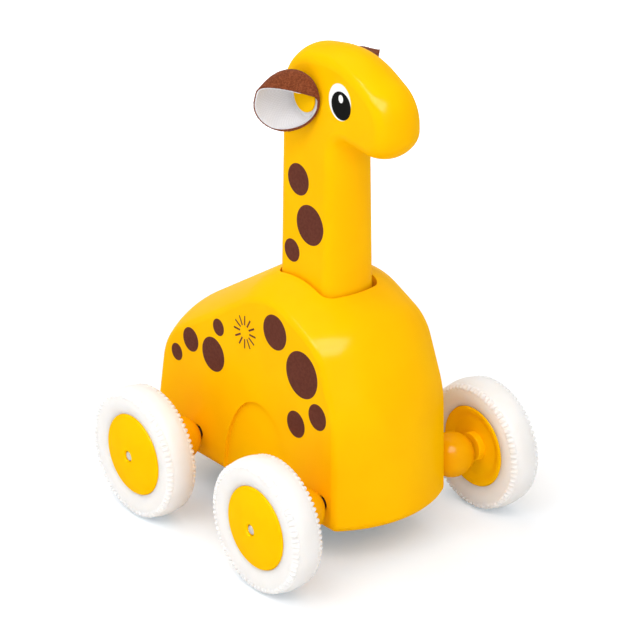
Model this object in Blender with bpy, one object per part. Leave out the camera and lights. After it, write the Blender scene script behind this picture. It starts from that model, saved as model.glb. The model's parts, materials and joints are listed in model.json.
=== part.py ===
"""Giraffe push toy: the neck is pressed down, and as it rises again the toy rolls forward.

Metres, +X forward, +Y to the animal's left, +Z up, wheels on Z = 0. Heights are above the floor.
Lengths along X are counted from the middle of the wheelbase, and one empty then carries the whole
toy so that the origin lies under the middle of its outline.
"""
import math

import bpy
import bmesh
from mathutils import Vector

# Clearances
SEAT_GAP = 0.0003        # between pieces that sit on or in each other
RUN_GAP = 0.0006         # between pieces that turn or slide past each other
CUT_PAST = 0.004         # how far a cutter runs past the face that it opens
MERGE = 1e-6             # points closer than this are one point

# Wheels and axles
WHEELBASE = 0.0629
TYRE_RADIUS = 0.0214
TYRE_WIDTH = 0.0105
TREAD_WIDTH = 0.0052     # smooth band in the middle of the tread
TREAD_TEETH = 48
TOOTH_DEPTH = 0.0007
TYRE_BULGE_AT = 0.45     # share of the sidewall's height at which the tyre is widest
TYRE_TEETH_AT = 0.84     # share of the sidewall's height at which the teeth lie
TYRE_TEETH_HALF = 0.0043  # from the tyre's middle to its teeth
HUB_RADIUS = 0.0136
HUB_SEAT_RADIUS = 0.0118
HUB_FACE = 0.0482        # rim of the outer hub face, from the middle plane
HUB_THICKNESS = 0.0092
HUB_RIM = 0.0014         # width of the rims that hold the tyre
HUB_ROUND = 0.0009
HUB_DOME = 0.0021        # middle of the outer face past its rim
HUB_BOSS_RADIUS = 0.0048
HUB_BOSS = 0.0010
AXLE_RADIUS = 0.0018
AXLE_RECESS = 0.0006     # axle end below the middle of the hub face
BUSH_RADIUS = 0.0032
BUSH_RECESS = 0.0030     # bush face below the flank
BUSH_PROUD = 0.0002      # bush end inside the pocket

# Body block: the outline of its flat flanks, and the crown of the rim between them
FLANK_HALF = 0.0227      # half width at the bottom
BODY_DRAFT = 0.016       # loss of half width per metre of height
BODY_CROWN = 0.0074
BODY_EDGE = 0.0022
BODY_BOTTOM = 0.0129
BOTTOM_EDGE = 0.0015
REAR_FOOT_X = -0.05474
REAR_SHOULDER_X = -0.0486
REAR_SHOULDER_HEIGHT = 0.0501
REAR_SHOULDER_RADIUS = 0.0198
CREST_X = 0.0030
CREST_HEIGHT = 0.0822
CREST_RADIUS = 0.0250
FRONT_SHOULDER_X = 0.0286
FRONT_SHOULDER_HEIGHT = 0.0707
FRONT_SHOULDER_RADIUS = 0.0138
CHEST_X = 0.0369
CHEST_HEIGHT = 0.0493
CHEST_RADIUS = 0.0284
FRONT_FOOT_X = 0.0373
ARCH_HALF = 0.0176       # shallow arch between the legs
ARCH_HEIGHT = 0.0433
ARCH_DEPTH = 0.0008

# Neck and head: one flat-sided piece that thins towards the top
NECK_AXIS_X = 0.0063
NECK_LENGTH = 0.0280     # along X, over the crowned front and back
NECK_HALF = 0.0101       # half thickness at the neck's lower end
NECK_DRAFT = 0.0236      # loss of half thickness per metre of height
NECK_CROWN = 0.0031
NECK_EDGE = 0.0050
NECK_PLAY = 0.0010       # in front of the neck and beside it, in its slot
NECK_REAR_PLAY = 0.0004  # behind the neck
JAW_HEIGHT = 0.1353
JAW_RADIUS = 0.0048
CHIN_REACH = 0.0338      # forward of the neck axis
CHIN_DROP = 0.0026
CHIN_RADIUS = 0.0052
NOSE_REACH = 0.0336
NOSE_RISE = 0.0121       # above the jaw
NOSE_RADIUS = 0.0125
BROW_REACH = 0.0145
BROW_RISE = 0.0227
BROW_RADIUS = 0.0300
NAPE_RISE = 0.0183
NAPE_RADIUS = 0.0130

# Ears: felt cups, each held by a round plug
PLUG_REACH = 0.0014      # forward of the neck axis
PLUG_RISE = 0.0086       # above the jaw
PLUG_HEAD_RADIUS = 0.0045
PLUG_HEAD = 0.0009
PLUG_SHANK_RADIUS = 0.0022
PLUG_SHANK = 0.0065
EAR_FELT = 0.0007
EAR_BASE_REACH = 0.0003  # base on the head: forward of the neck axis
EAR_BASE_RISE = 0.0084   # base on the head: above the jaw
EAR_BASE_RADIUS = 0.0068
EAR_MOUTH_REACH = 0.0007
EAR_MOUTH_RISE = 0.0069
EAR_MOUTH_OUT = 0.0084   # mouth centre, outward from the head
EAR_MOUTH_RADIUS = 0.0092
EAR_MOUTH_ROOF = 0.68    # height of the mouth's upper half, as a share of its radius
EAR_ROOF_POWER = 0.24    # how square the upper half is: 1 is round, 0 is square
EAR_YAW = math.radians(46)      # mouth turned to the front
EAR_PITCH = math.radians(15)    # mouth tipped outward at the top
EAR_ROLL = math.radians(-11.3)  # mouth tipped down at the front
EAR_BULGE = 0.0030       # fullness between base and mouth
EAR_FRONT_BULGE = 0.4    # share of the fullness at the ear's front
EAR_LOW_BULGE = 0.2      # share of the fullness at the ear's lower side
EAR_LIFT = {"right": 0.0, "left": 0.12}

# Pocket, base plate and screws
BODY_WALL = 0.0095       # between the pocket and each flank
POCKET_ROOF = 0.0620
POCKET_MARGIN = 0.0016
PLATE_THICKNESS = 0.0015
PLATE_LIP = 0.0028       # plate past the pocket's ends
PLATE_SIDE_LIP = 0.0056
PLATE_CORNER = 0.0040
SCREW_RADIUS = 0.0013
SCREW_HEAD_RADIUS = 0.0026
SCREW_HEAD = 0.0013
SCREW_TIP = 0.0012
BASE_SCREW = 0.0100
NECK_SCREW = 0.0110
BASE_SCREW_INSET = 0.0120   # from each axle towards the middle
NECK_SCREW_OFFSET = 0.0095  # from the neck axis, fore and aft

# Press mechanism
STROKE = 0.0140
PLUNGER_THICKNESS = 0.0037
PLUNGER_PLAY = 0.0009    # each side of the plunger in the pocket
PLUNGER_FRONT_LIP = 0.0036  # past the neck's front
SPIGOT_RADIUS = 0.0044
SPIGOT = 0.0080
SPRING_RADIUS = 0.0060
SPRING_WIRE = 0.0006
SPRING_TURNS = 6
GEAR_MODULE = 0.0008
PRESSURE_ANGLE = math.radians(22)
TOOTH_PLAY = 0.0003
PINION_TEETH = 12
WHEEL_TEETH = 30
DRIVE_TEETH = 12
SHAFT_AHEAD = 0.0124     # gear shaft forward of the rear axle
SHAFT_RADIUS = 0.0015
RACK_RIGHT = -0.0040     # right side of the rack, from the middle plane
RACK_WIDTH = 0.0060
RACK_BACK = 0.0042       # rack bar behind the tooth roots
WHEEL_WIDTH = 0.0030
CHEEK = 0.0020
CHEEK_ROUND = 0.0056
CHEEK_FOOT_HALF = 0.0062
FRAME_FLOOR = 0.0018
CLUTCH_RADIUS = 0.0038
CLUTCH_WALL = 0.0010     # drive gear's sleeve round the clutch
SPACER_RADIUS = 0.0032

# Places and sizes worked out from the ones above
FRONT_AXLE_X = WHEELBASE / 2
REAR_AXLE_X = -WHEELBASE / 2
AXLE_HEIGHT = TYRE_RADIUS
HUB_BACK = HUB_FACE - HUB_THICKNESS
AXLE_FLANK = FLANK_HALF - BODY_DRAFT * (AXLE_HEIGHT - BODY_BOTTOM)
BALL_SPAN = HUB_BACK - HUB_BOSS - AXLE_FLANK
BALL_RADIUS = BALL_SPAN / 2 - SEAT_GAP
BALL_CENTRE = AXLE_FLANK + BALL_SPAN / 2
AXLE_BORE = AXLE_RADIUS + SEAT_GAP
REAR_LEAN = math.atan2(REAR_SHOULDER_X - REAR_FOOT_X, REAR_SHOULDER_HEIGHT - BODY_BOTTOM)
REAR_TUCK = BOTTOM_EDGE * ((1 + math.sin(REAR_LEAN)) / math.cos(REAR_LEAN) - 1)
REAR_REACH = BODY_CROWN / math.cos(REAR_LEAN) - REAR_TUCK
REAR_END = min(REAR_FOOT_X - REAR_REACH, REAR_AXLE_X - TYRE_RADIUS)
FRONT_END = max(FRONT_AXLE_X + TYRE_RADIUS, FRONT_FOOT_X + BODY_CROWN)
ORIGIN_SHIFT = -(REAR_END + FRONT_END) / 2
NECK_FLAT_HALF = NECK_LENGTH / 2 - NECK_CROWN
NECK_BOTTOM = POCKET_ROOF
PLUG_HEIGHT = JAW_HEIGHT + PLUG_RISE
EAR_BASE_HEIGHT = JAW_HEIGHT + EAR_BASE_RISE
POCKET_HALF = FLANK_HALF - BODY_WALL
PLUNGER_HALF = POCKET_HALF - PLUNGER_PLAY
PLATE_TOP = BODY_BOTTOM + PLATE_THICKNESS
FRAME_BOTTOM = PLATE_TOP + SEAT_GAP
FRAME_FLOOR_TOP = FRAME_BOTTOM + FRAME_FLOOR
PLUNGER_TOP = POCKET_ROOF - SEAT_GAP
PLUNGER_UNDER = PLUNGER_TOP - PLUNGER_THICKNESS
PINION_RADIUS = GEAR_MODULE * PINION_TEETH / 2
WHEEL_RADIUS = GEAR_MODULE * WHEEL_TEETH / 2
DRIVE_RADIUS = GEAR_MODULE * DRIVE_TEETH / 2
SHAFT_X = REAR_AXLE_X + SHAFT_AHEAD
SHAFT_HEIGHT = AXLE_HEIGHT + math.sqrt((WHEEL_RADIUS + DRIVE_RADIUS) ** 2 - SHAFT_AHEAD ** 2)
ADDENDUM = GEAR_MODULE
DEDENDUM = 1.25 * GEAR_MODULE
RACK_PITCH_X = SHAFT_X + PINION_RADIUS
RACK_BOTTOM = FRAME_FLOOR_TOP + STROKE + RUN_GAP
RACK_LEFT = RACK_RIGHT + RACK_WIDTH
WHEEL_RIGHT = RACK_LEFT + RUN_GAP
WHEEL_LEFT = WHEEL_RIGHT + WHEEL_WIDTH
PINION_RIGHT = RACK_RIGHT - RUN_GAP
BUSH_INNER = POCKET_HALF - BUSH_PROUD
PLUNGER_FRONT = NECK_AXIS_X + NECK_LENGTH / 2 + PLUNGER_FRONT_LIP
PLUNGER_REAR = RACK_PITCH_X + DEDENDUM + RACK_BACK / 2
POCKET_FRONT = PLUNGER_FRONT + POCKET_MARGIN
POCKET_STEP = RACK_PITCH_X - ADDENDUM - POCKET_MARGIN
POCKET_REAR = REAR_AXLE_X - DRIVE_RADIUS - ADDENDUM - POCKET_MARGIN
GEAR_ROOF = SHAFT_HEIGHT + WHEEL_RADIUS + ADDENDUM + POCKET_MARGIN
FRAME_SCREW = PLATE_THICKNESS + FRAME_FLOOR

# Colours, roughness and metallic value
YELLOW = (0.96, 0.52, 0.005)
FINISHES = {
    "lacquer_yellow": (YELLOW, 0.22, 0.0),
    "plastic_yellow": ((0.95, 0.50, 0.004), 0.25, 0.0),
    "rubber_white": ((0.90, 0.89, 0.86), 0.55, 0.0),
    "felt_brown": ((0.20, 0.06, 0.025), 0.95, 0.0),
    "steel": ((0.62, 0.62, 0.60), 0.30, 1.0),
    "plastic_black": ((0.03, 0.03, 0.03), 0.45, 0.0),
    "nylon_white": ((0.82, 0.82, 0.78), 0.40, 0.0),
}
SIDES = {"right": -1, "left": 1}
ROUND = 18               # steps round a hub
SMALL_ROUND = 12         # steps round a bore or a sleeve
BUSH_ROUND = 16
SCREW_ROUND = 10
EAR_ROUND = 16
BALL_ROUND = 16
ARC_STEP = math.radians(12)
SHARP = math.radians(32)


def material(name):
    """Material of that name, made the first time it is asked for."""
    found = bpy.data.materials.get(name)
    if found:
        return found
    colour, roughness, metallic = FINISHES[name]
    made = bpy.data.materials.new(name)
    made.use_nodes = True
    shader = made.node_tree.nodes["Principled BSDF"]
    shader.inputs["Base Color"].default_value = (*colour, 1.0)
    shader.inputs["Roughness"].default_value = roughness
    shader.inputs["Metallic"].default_value = metallic
    return made


def pivot(name, parent=None, location=(0, 0, 0)):
    """Empty that carries the pieces of one moving body."""
    empty = bpy.data.objects.new(name, None)
    empty.location = location
    empty.parent = parent
    bpy.context.collection.objects.link(empty)
    return empty


def piece(name, bm, finish, parent, location=(0, 0, 0)):
    """Object made of a finished bmesh, under its pivot."""
    bmesh.ops.recalc_face_normals(bm, faces=bm.faces)
    mesh = bpy.data.meshes.new(name)
    bm.to_mesh(mesh)
    bm.free()
    mesh.shade_smooth()
    mesh.set_sharp_from_angle(angle=SHARP)
    mesh.materials.append(material(finish))
    made = bpy.data.objects.new(name, mesh)
    made.location = location
    made.parent = parent
    bpy.context.collection.objects.link(made)
    return made


def cutter(name, bm, parent, location=(0, 0, 0)):
    """Tool for Boolean modifiers, left out of the finished toy."""
    tool = piece(name, bm, "plastic_black", parent, location)
    tool.hide_render = True
    tool.display_type = "WIRE"
    return tool


def boolean(target, tool, operation="DIFFERENCE"):
    step = target.modifiers.new(tool.name, "BOOLEAN")
    step.operation = operation
    step.object = tool


def rounded_path(corners):
    """Points and outward normals along a path of (x, z, radius) corners, outside on its left."""
    path = []
    last = len(corners) - 1
    for index, (x, z, radius) in enumerate(corners):
        corner = Vector((x, z))
        if index in (0, last):
            other = Vector(corners[1 if index == 0 else last - 1][:2])
            way = (other - corner if index == 0 else corner - other).normalized()
            path.append((corner, Vector((-way.y, way.x))))
            continue
        into = (corner - Vector(corners[index - 1][:2])).normalized()
        out = (Vector(corners[index + 1][:2]) - corner).normalized()
        turn = math.atan2(into.x * out.y - into.y * out.x, into.dot(out))
        side = math.copysign(1, turn)
        start = corner - into * radius * math.tan(abs(turn) / 2)
        centre = start + Vector((-into.y, into.x)) * side * radius
        steps = max(2, math.ceil(abs(turn) / ARC_STEP))
        heading = math.atan2(into.y, into.x)
        for step in range(steps + 1):
            angle = heading + turn * step / steps
            normal = Vector((-math.sin(angle), math.cos(angle)))
            path.append((centre - normal * side * radius, normal))
    return path


def crown_section(half_width, crown, edge, steps=6):
    """Rim from flank to flank as (y, rise): an arc whose ends are rounded into flat flanks."""
    radius = (half_width ** 2 + crown ** 2) / (2 * crown)
    edge_y = half_width - edge
    join = math.asin(edge_y / (radius - edge))
    edge_rise = crown - radius + math.sqrt((radius - edge) ** 2 - edge_y ** 2)
    arc = [join * (2 * k / steps - 1) for k in range(steps + 1)]
    section = [(radius * math.sin(a), crown - radius + radius * math.cos(a)) for a in arc]
    bends = [join + (math.pi / 2 - join) * k / 3 for k in (1, 2, 3)]
    for bend in bends:
        y = edge_y + edge * math.sin(bend)
        rise = edge_rise + edge * math.cos(bend)
        section.append((y, rise))
        section.insert(0, (-y, rise))
    return section


def crowned_plate(corners, half_width, crown, edge, bottom):
    """Flat-sided block: a side outline whose rim is crowned all round, cut level at the bottom."""
    bm = bmesh.new()
    path = rounded_path(corners)
    rows = []
    for y, rise in crown_section(half_width, crown, edge):
        spots = [point + normal * rise for point, normal in path]
        rows.append([bm.verts.new((spot.x, y, spot.y)) for spot in spots])
    for row, after in zip(rows, rows[1:]):
        for i in range(len(row) - 1):
            bm.faces.new((row[i], row[i + 1], after[i + 1], after[i]))
    bm.faces.new(rows[0])
    bm.faces.new(rows[-1])
    bm.faces.new([row[0] for row in rows] + [row[-1] for row in reversed(rows)])
    everything = bm.verts[:] + bm.edges[:] + bm.faces[:]
    level = (0, 0, bottom)
    bmesh.ops.bisect_plane(bm, geom=everything, plane_co=level, plane_no=(0, 0, -1), clear_outer=True)
    bmesh.ops.holes_fill(bm, edges=[edge for edge in bm.edges if edge.is_boundary])
    return bm


def turned(profile, axis="Y", steps=ROUND, ring=False):
    """Solid of revolution of (radius, along) points, closed on itself when it is a ring."""
    bm = bmesh.new()
    along = {"Y": Vector((0, 1, 0)), "Z": Vector((0, 0, 1))}[axis]
    verts = [bm.verts.new(Vector((radius, 0, 0)) + along * place) for radius, place in profile]
    pairs = list(zip(verts, verts[1:])) + ([(verts[-1], verts[0])] if ring else [])
    edges = [bm.edges.new(pair) for pair in pairs]
    bmesh.ops.spin(bm, geom=verts + edges, axis=along, cent=(0, 0, 0), angle=math.tau, steps=steps,
                   use_merge=True)
    bmesh.ops.remove_doubles(bm, verts=bm.verts, dist=MERGE)
    return bm


def prism(outline, start, end):
    """Outline of 3-D points, moved to start and extruded to end."""
    bm = bmesh.new()
    face = bm.faces.new([bm.verts.new(Vector(point) + Vector(start)) for point in outline])
    top = bmesh.ops.extrude_face_region(bm, geom=[face])["geom"]
    moved = [item for item in top if isinstance(item, bmesh.types.BMVert)]
    bmesh.ops.translate(bm, verts=moved, vec=Vector(end) - Vector(start))
    return bm


def side_prism(outline, right, left):
    """Side outline of (x, z) points between two distances from the middle plane."""
    return prism([(x, 0, z) for x, z in outline], (0, right, 0), (0, left, 0))


def rounded_rectangle(x0, x1, half, radius):
    """Plan outline with round corners, as 3-D points at height 0."""
    outline = []
    turns = ((x1, half, 0), (x0, half, 1), (x0, -half, 2), (x1, -half, 3))
    for x, y, quarter in turns:
        centre = (x - math.copysign(radius, x - (x0 + x1) / 2), y - math.copysign(radius, y))
        for step in range(4):
            angle = math.pi / 2 * (quarter + step / 3)
            outline.append((centre[0] + radius * math.cos(angle), centre[1] + radius * math.sin(angle), 0))
    return outline


def involute_half_angle(radius, pitch_radius):
    """Half the angle that a tooth fills at a radius."""
    def involute(at):
        base = pitch_radius * math.cos(PRESSURE_ANGLE)
        pressure = math.acos(min(1.0, base / at))
        return math.tan(pressure) - pressure
    thickness = math.pi * GEAR_MODULE / 2 - TOOTH_PLAY / 2
    return thickness / (2 * pitch_radius) + involute(pitch_radius) - involute(radius)


def gear_outline(teeth, phase):
    """Side outline of a spur gear with a tooth at the phase angle, counted from +X towards +Z."""
    pitch_radius = GEAR_MODULE * teeth / 2
    radii = [pitch_radius - DEDENDUM, pitch_radius + ADDENDUM]
    outline = []
    for tooth in range(teeth):
        middle = phase + math.tau * tooth / teeth
        halves = [(radius, involute_half_angle(radius, pitch_radius)) for radius in radii]
        spots = [(r, middle - half) for r, half in halves] + [(r, middle + half) for r, half in halves[::-1]]
        outline += [(r * math.cos(a), r * math.sin(a)) for r, a in spots]
    return outline


def rack_outline():
    """Toothed bar with its teeth to the rear and a tooth space level with the gear shaft."""
    pitch = math.pi * GEAR_MODULE
    tip = RACK_PITCH_X - ADDENDUM
    root = RACK_PITCH_X + DEDENDUM
    lean = math.tan(PRESSURE_ANGLE)
    pitch_half = pitch / 4 - TOOTH_PLAY / 4
    tip_half = pitch_half - ADDENDUM * lean
    root_half = pitch_half + DEDENDUM * lean
    first = math.ceil((RACK_BOTTOM + pitch - SHAFT_HEIGHT) / pitch - 0.5)
    count = math.floor((PLUNGER_UNDER - SHAFT_HEIGHT) / pitch - 0.5) - first
    outline = [(root + RACK_BACK, RACK_BOTTOM), (root, RACK_BOTTOM)]
    for tooth in range(first, first + count):
        middle = SHAFT_HEIGHT + (tooth + 0.5) * pitch
        outline += [(root, middle - root_half), (tip, middle - tip_half)]
        outline += [(tip, middle + tip_half), (root, middle + root_half)]
    return outline + [(root, PLUNGER_TOP), (root + RACK_BACK, PLUNGER_TOP)]


def screw_profile(length, gap=0.0):
    """Countersunk screw with its head at height 0, or the hole for it when there is a gap."""
    past = CUT_PAST if gap else 0.0
    shank = SCREW_RADIUS + gap
    head = SCREW_HEAD_RADIUS + gap
    face = [(0, -past), (head, -past)] + ([(head, 0)] if gap else [])
    return face + [(shank, SCREW_HEAD), (shank, length - SCREW_TIP), (0, length + gap)]


def screw(name, length, parent, location, *targets):
    """Screw that points up, and its hole in each piece that it passes through."""
    piece(name, turned(screw_profile(length), "Z", SCREW_ROUND), "steel", parent, location)
    room = turned(screw_profile(length, SEAT_GAP), "Z", SCREW_ROUND)
    hole = cutter(name + "_hole", room, parent, location)
    for target in targets:
        boolean(target, hole)


def body_half(height):
    """Half width of the body block at a height."""
    return FLANK_HALF - BODY_DRAFT * (height - BODY_BOTTOM)


def round_bottom(bm):
    """Rounds the edge round the block's level bottom."""
    rim = [edge for edge in bm.edges if all(vert.co.z < BODY_BOTTOM + MERGE for vert in edge.verts)]
    bmesh.ops.bevel(bm, geom=rim, offset=BOTTOM_EDGE, segments=2, profile=0.5, affect="EDGES")


def body_corners():
    """Flank outline from the rear foot over the crest to the front foot, run past the bottom."""
    run = CUT_PAST + BODY_CROWN
    return [
        (REAR_FOOT_X - run * math.tan(REAR_LEAN), BODY_BOTTOM - run, 0),
        (REAR_SHOULDER_X, REAR_SHOULDER_HEIGHT, REAR_SHOULDER_RADIUS),
        (CREST_X, CREST_HEIGHT, CREST_RADIUS),
        (FRONT_SHOULDER_X, FRONT_SHOULDER_HEIGHT, FRONT_SHOULDER_RADIUS),
        (CHEST_X, CHEST_HEIGHT, CHEST_RADIUS),
        (FRONT_FOOT_X, BODY_BOTTOM - run, 0),
    ]


def make_body(frame):
    """Crowned block with the neck slot, the pocket for the mechanism and the axle holes."""
    bm = crowned_plate(body_corners(), FLANK_HALF, BODY_CROWN, BODY_EDGE, BODY_BOTTOM)
    round_bottom(bm)
    for vert in bm.verts:
        vert.co.y *= body_half(vert.co.z) / FLANK_HALF
    body = piece("body", bm, "lacquer_yellow", frame)
    under = BODY_BOTTOM - CUT_PAST
    pocket = [(POCKET_REAR, under), (POCKET_REAR, GEAR_ROOF), (POCKET_STEP, GEAR_ROOF),
              (POCKET_STEP, POCKET_ROOF), (POCKET_FRONT, POCKET_ROOF), (POCKET_FRONT, under)]
    boolean(body, cutter("pocket_cut", side_prism(pocket, -POCKET_HALF, POCKET_HALF), frame))
    rim = crown_section(NECK_HALF + NECK_PLAY, NECK_CROWN, NECK_EDGE + NECK_PLAY)
    front = NECK_AXIS_X + NECK_FLAT_HALF + NECK_PLAY
    rear = NECK_AXIS_X - NECK_FLAT_HALF - NECK_REAR_PLAY
    slot = [(front + rise, y, 0) for y, rise in rim] + [(rear - rise, y, 0) for y, rise in reversed(rim)]
    top = CREST_HEIGHT + BODY_CROWN + CUT_PAST
    slot_bm = prism(slot, (0, 0, POCKET_ROOF - CUT_PAST), (0, 0, top))
    boolean(body, cutter("neck_slot_cut", slot_bm, frame))
    plate = plate_outline(SEAT_GAP)
    rebate = prism(plate, (0, 0, under), (0, 0, PLATE_TOP + SEAT_GAP))
    boolean(body, cutter("plate_rebate_cut", rebate, frame))
    for name, x in (("rear", REAR_AXLE_X), ("front", FRONT_AXLE_X)):
        bore = [(0, -FLANK_HALF), (AXLE_BORE, -FLANK_HALF), (AXLE_BORE, FLANK_HALF), (0, FLANK_HALF)]
        place = (x, 0, AXLE_HEIGHT)
        boolean(body, cutter(name + "_axle_cut", turned(bore, steps=SMALL_ROUND), frame, place))
        for side, sign in SIDES.items():
            ends = (sign * (BUSH_INNER - SEAT_GAP), sign * (FLANK_HALF + CUT_PAST))
            hole = [(0, ends[0]), (BUSH_RADIUS + SEAT_GAP, ends[0]),
                    (BUSH_RADIUS + SEAT_GAP, ends[1]), (0, ends[1])]
            room = turned(hole, steps=BUSH_ROUND)
            boolean(body, cutter(f"{name}_{side}_bush_cut", room, frame, place))
    for side, sign in SIDES.items():
        arch = [(-ARCH_HALF, under), (ARCH_HALF, under)]
        for step in range(13):
            angle = math.pi * step / 12
            rise = (ARCH_HEIGHT - BODY_BOTTOM) * math.sin(angle)
            arch.append((ARCH_HALF * math.cos(angle), BODY_BOTTOM + rise))
        faces = sorted((sign * (FLANK_HALF - ARCH_DEPTH), sign * (FLANK_HALF + CUT_PAST)))
        room = side_prism(arch, *faces)
        for vert in room.verts:
            vert.co.y -= sign * (FLANK_HALF - body_half(vert.co.z))
        boolean(body, cutter(side + "_arch_cut", room, frame))
    return body


def plate_outline(gap=0.0):
    """Plan of the base plate, or of its rebate when there is a gap."""
    rear = POCKET_REAR - PLATE_LIP - gap
    front = POCKET_FRONT + PLATE_LIP + gap
    half = POCKET_HALF + PLATE_SIDE_LIP + gap
    return rounded_rectangle(rear, front, half, PLATE_CORNER + gap)


def spigot(name, parent, base, tip):
    """Round peg that the spring sits over, to be joined to the plate that it stands on."""
    profile = [(0, base), (SPIGOT_RADIUS, base), (SPIGOT_RADIUS, tip), (0, tip)]
    return cutter(name, turned(profile, "Z", SMALL_ROUND), parent, (NECK_AXIS_X, 0, 0))


def make_base(frame, body):
    """Base plate in its rebate, with the screws that hold it."""
    bm = prism(plate_outline(), (0, 0, BODY_BOTTOM), (0, 0, PLATE_TOP))
    plate = piece("base_plate", bm, "plastic_black", frame)
    middle = (BODY_BOTTOM + PLATE_TOP) / 2
    boolean(plate, spigot("base_spigot", frame, middle, PLATE_TOP + SPIGOT), "UNION")
    across = POCKET_HALF + PLATE_SIDE_LIP / 2
    spots = [(REAR_AXLE_X + BASE_SCREW_INSET, -across), (REAR_AXLE_X + BASE_SCREW_INSET, across),
             (FRONT_AXLE_X - BASE_SCREW_INSET, -across), (FRONT_AXLE_X - BASE_SCREW_INSET, across)]
    for number, (x, y) in enumerate(spots, 1):
        screw(f"base_screw_{number}", BASE_SCREW, frame, (x, y, BODY_BOTTOM), plate, body)
    return plate


def make_neck(neck):
    """Neck with its head, in one piece, and the ears and plugs on it."""
    x = NECK_AXIS_X
    low = NECK_BOTTOM - CUT_PAST
    corners = [
        (x - NECK_FLAT_HALF, low, 0),
        (x - NECK_FLAT_HALF, JAW_HEIGHT + NAPE_RISE, NAPE_RADIUS),
        (x + BROW_REACH, JAW_HEIGHT + BROW_RISE, BROW_RADIUS),
        (x + NOSE_REACH, JAW_HEIGHT + NOSE_RISE, NOSE_RADIUS),
        (x + CHIN_REACH, JAW_HEIGHT - CHIN_DROP, CHIN_RADIUS),
        (x + NECK_FLAT_HALF, JAW_HEIGHT, JAW_RADIUS),
        (x + NECK_FLAT_HALF, low, 0),
    ]
    bm = crowned_plate(corners, NECK_HALF, NECK_CROWN, NECK_EDGE, NECK_BOTTOM)
    for vert in bm.verts:
        vert.co.x -= x
        vert.co.y *= head_half(vert.co.z) / NECK_HALF
    made = piece("neck_head", bm, "lacquer_yellow", neck)
    for side, sign in SIDES.items():
        make_ear(neck, made, side, sign)
    return made


def head_half(height):
    """Half thickness of the neck and head at a height."""
    return NECK_HALF - NECK_DRAFT * (height - NECK_BOTTOM)


def ear_point(share, angle, inset, sign):
    """Point of the felt cup at a share of the way from base to mouth, inset by the felt."""
    wall = head_half(EAR_BASE_HEIGHT) + SEAT_GAP
    flat = Vector((math.cos(angle), 0, math.sin(angle)))
    base = Vector((EAR_BASE_REACH, wall + inset, EAR_BASE_HEIGHT)) + flat * (EAR_BASE_RADIUS - inset)
    level = Vector((math.cos(EAR_YAW), -math.sin(EAR_YAW), 0))
    steep = Vector((math.sin(EAR_YAW) * math.sin(EAR_PITCH), math.cos(EAR_YAW) * math.sin(EAR_PITCH),
                    math.cos(EAR_PITCH)))
    across = level * math.cos(EAR_ROLL) + steep * math.sin(EAR_ROLL)
    upward = steep * math.cos(EAR_ROLL) - level * math.sin(EAR_ROLL)
    rise = max(math.sin(angle), 0.0) ** EAR_ROOF_POWER * EAR_MOUTH_ROOF + min(math.sin(angle), 0.0)
    mouth = Vector((EAR_MOUTH_REACH, wall + EAR_MOUTH_OUT, JAW_HEIGHT + EAR_MOUTH_RISE))
    mouth += (across * math.cos(angle) + upward * rise) * (EAR_MOUTH_RADIUS - inset)
    full = EAR_BULGE * (EAR_LOW_BULGE + (1 - EAR_LOW_BULGE) * (1 + math.sin(angle)) / 2)
    full *= EAR_FRONT_BULGE if math.cos(angle) > 0 else 1
    spot = base.lerp(mouth, share) + flat * full * math.sin(math.pi * share)
    lift = EAR_LIFT["left" if sign > 0 else "right"] * max(spot.y - wall - inset, 0.0)
    return Vector((spot.x, sign * spot.y, spot.z + lift))


def make_ear(neck, head, side, sign):
    """Felt cup that lies flat on the side of the head, and the plug through it."""
    bm = bmesh.new()
    shares = [1.0, 0.72, 0.45, 0.2, 0.0]
    angles = [math.tau * k / EAR_ROUND for k in range(EAR_ROUND)]
    shells = []
    for inset in (0.0, EAR_FELT):
        shells.append([[bm.verts.new(ear_point(share, angle, inset, sign)) for angle in angles]
                       for share in shares])
    outer, inner = shells
    loops = outer[::-1] + inner
    for row, after in zip(loops, loops[1:]):
        join_rings(bm, row, after)
    bm.faces.new(loops[0])
    bm.faces.new(loops[-1])
    ear = piece(side + "_ear", bm, "felt_brown", neck)
    wall = head_half(PLUG_HEIGHT) + SEAT_GAP
    face = wall + EAR_FELT + SEAT_GAP
    place = (PLUG_REACH, 0, PLUG_HEIGHT)
    rim = PLUG_HEAD / 3
    tip = face - PLUG_SHANK
    profile = [(0, tip), (PLUG_SHANK_RADIUS, tip), (PLUG_SHANK_RADIUS, face), (PLUG_HEAD_RADIUS, face),
               (PLUG_HEAD_RADIUS, face + PLUG_HEAD - rim), (PLUG_HEAD_RADIUS - rim, face + PLUG_HEAD),
               (0, face + PLUG_HEAD)]
    plug = turned([(radius, sign * y) for radius, y in profile], steps=SMALL_ROUND)
    piece(side + "_ear_plug", plug, "plastic_yellow", neck, place)
    bore = PLUG_SHANK_RADIUS + SEAT_GAP
    hole = [(0, tip - SEAT_GAP), (bore, tip - SEAT_GAP), (bore, face), (0, face)]
    room = turned([(radius, sign * y) for radius, y in hole], steps=SMALL_ROUND)
    tool = cutter(side + "_plug_cut", room, neck, place)
    boolean(head, tool)
    boolean(ear, tool)


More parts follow.
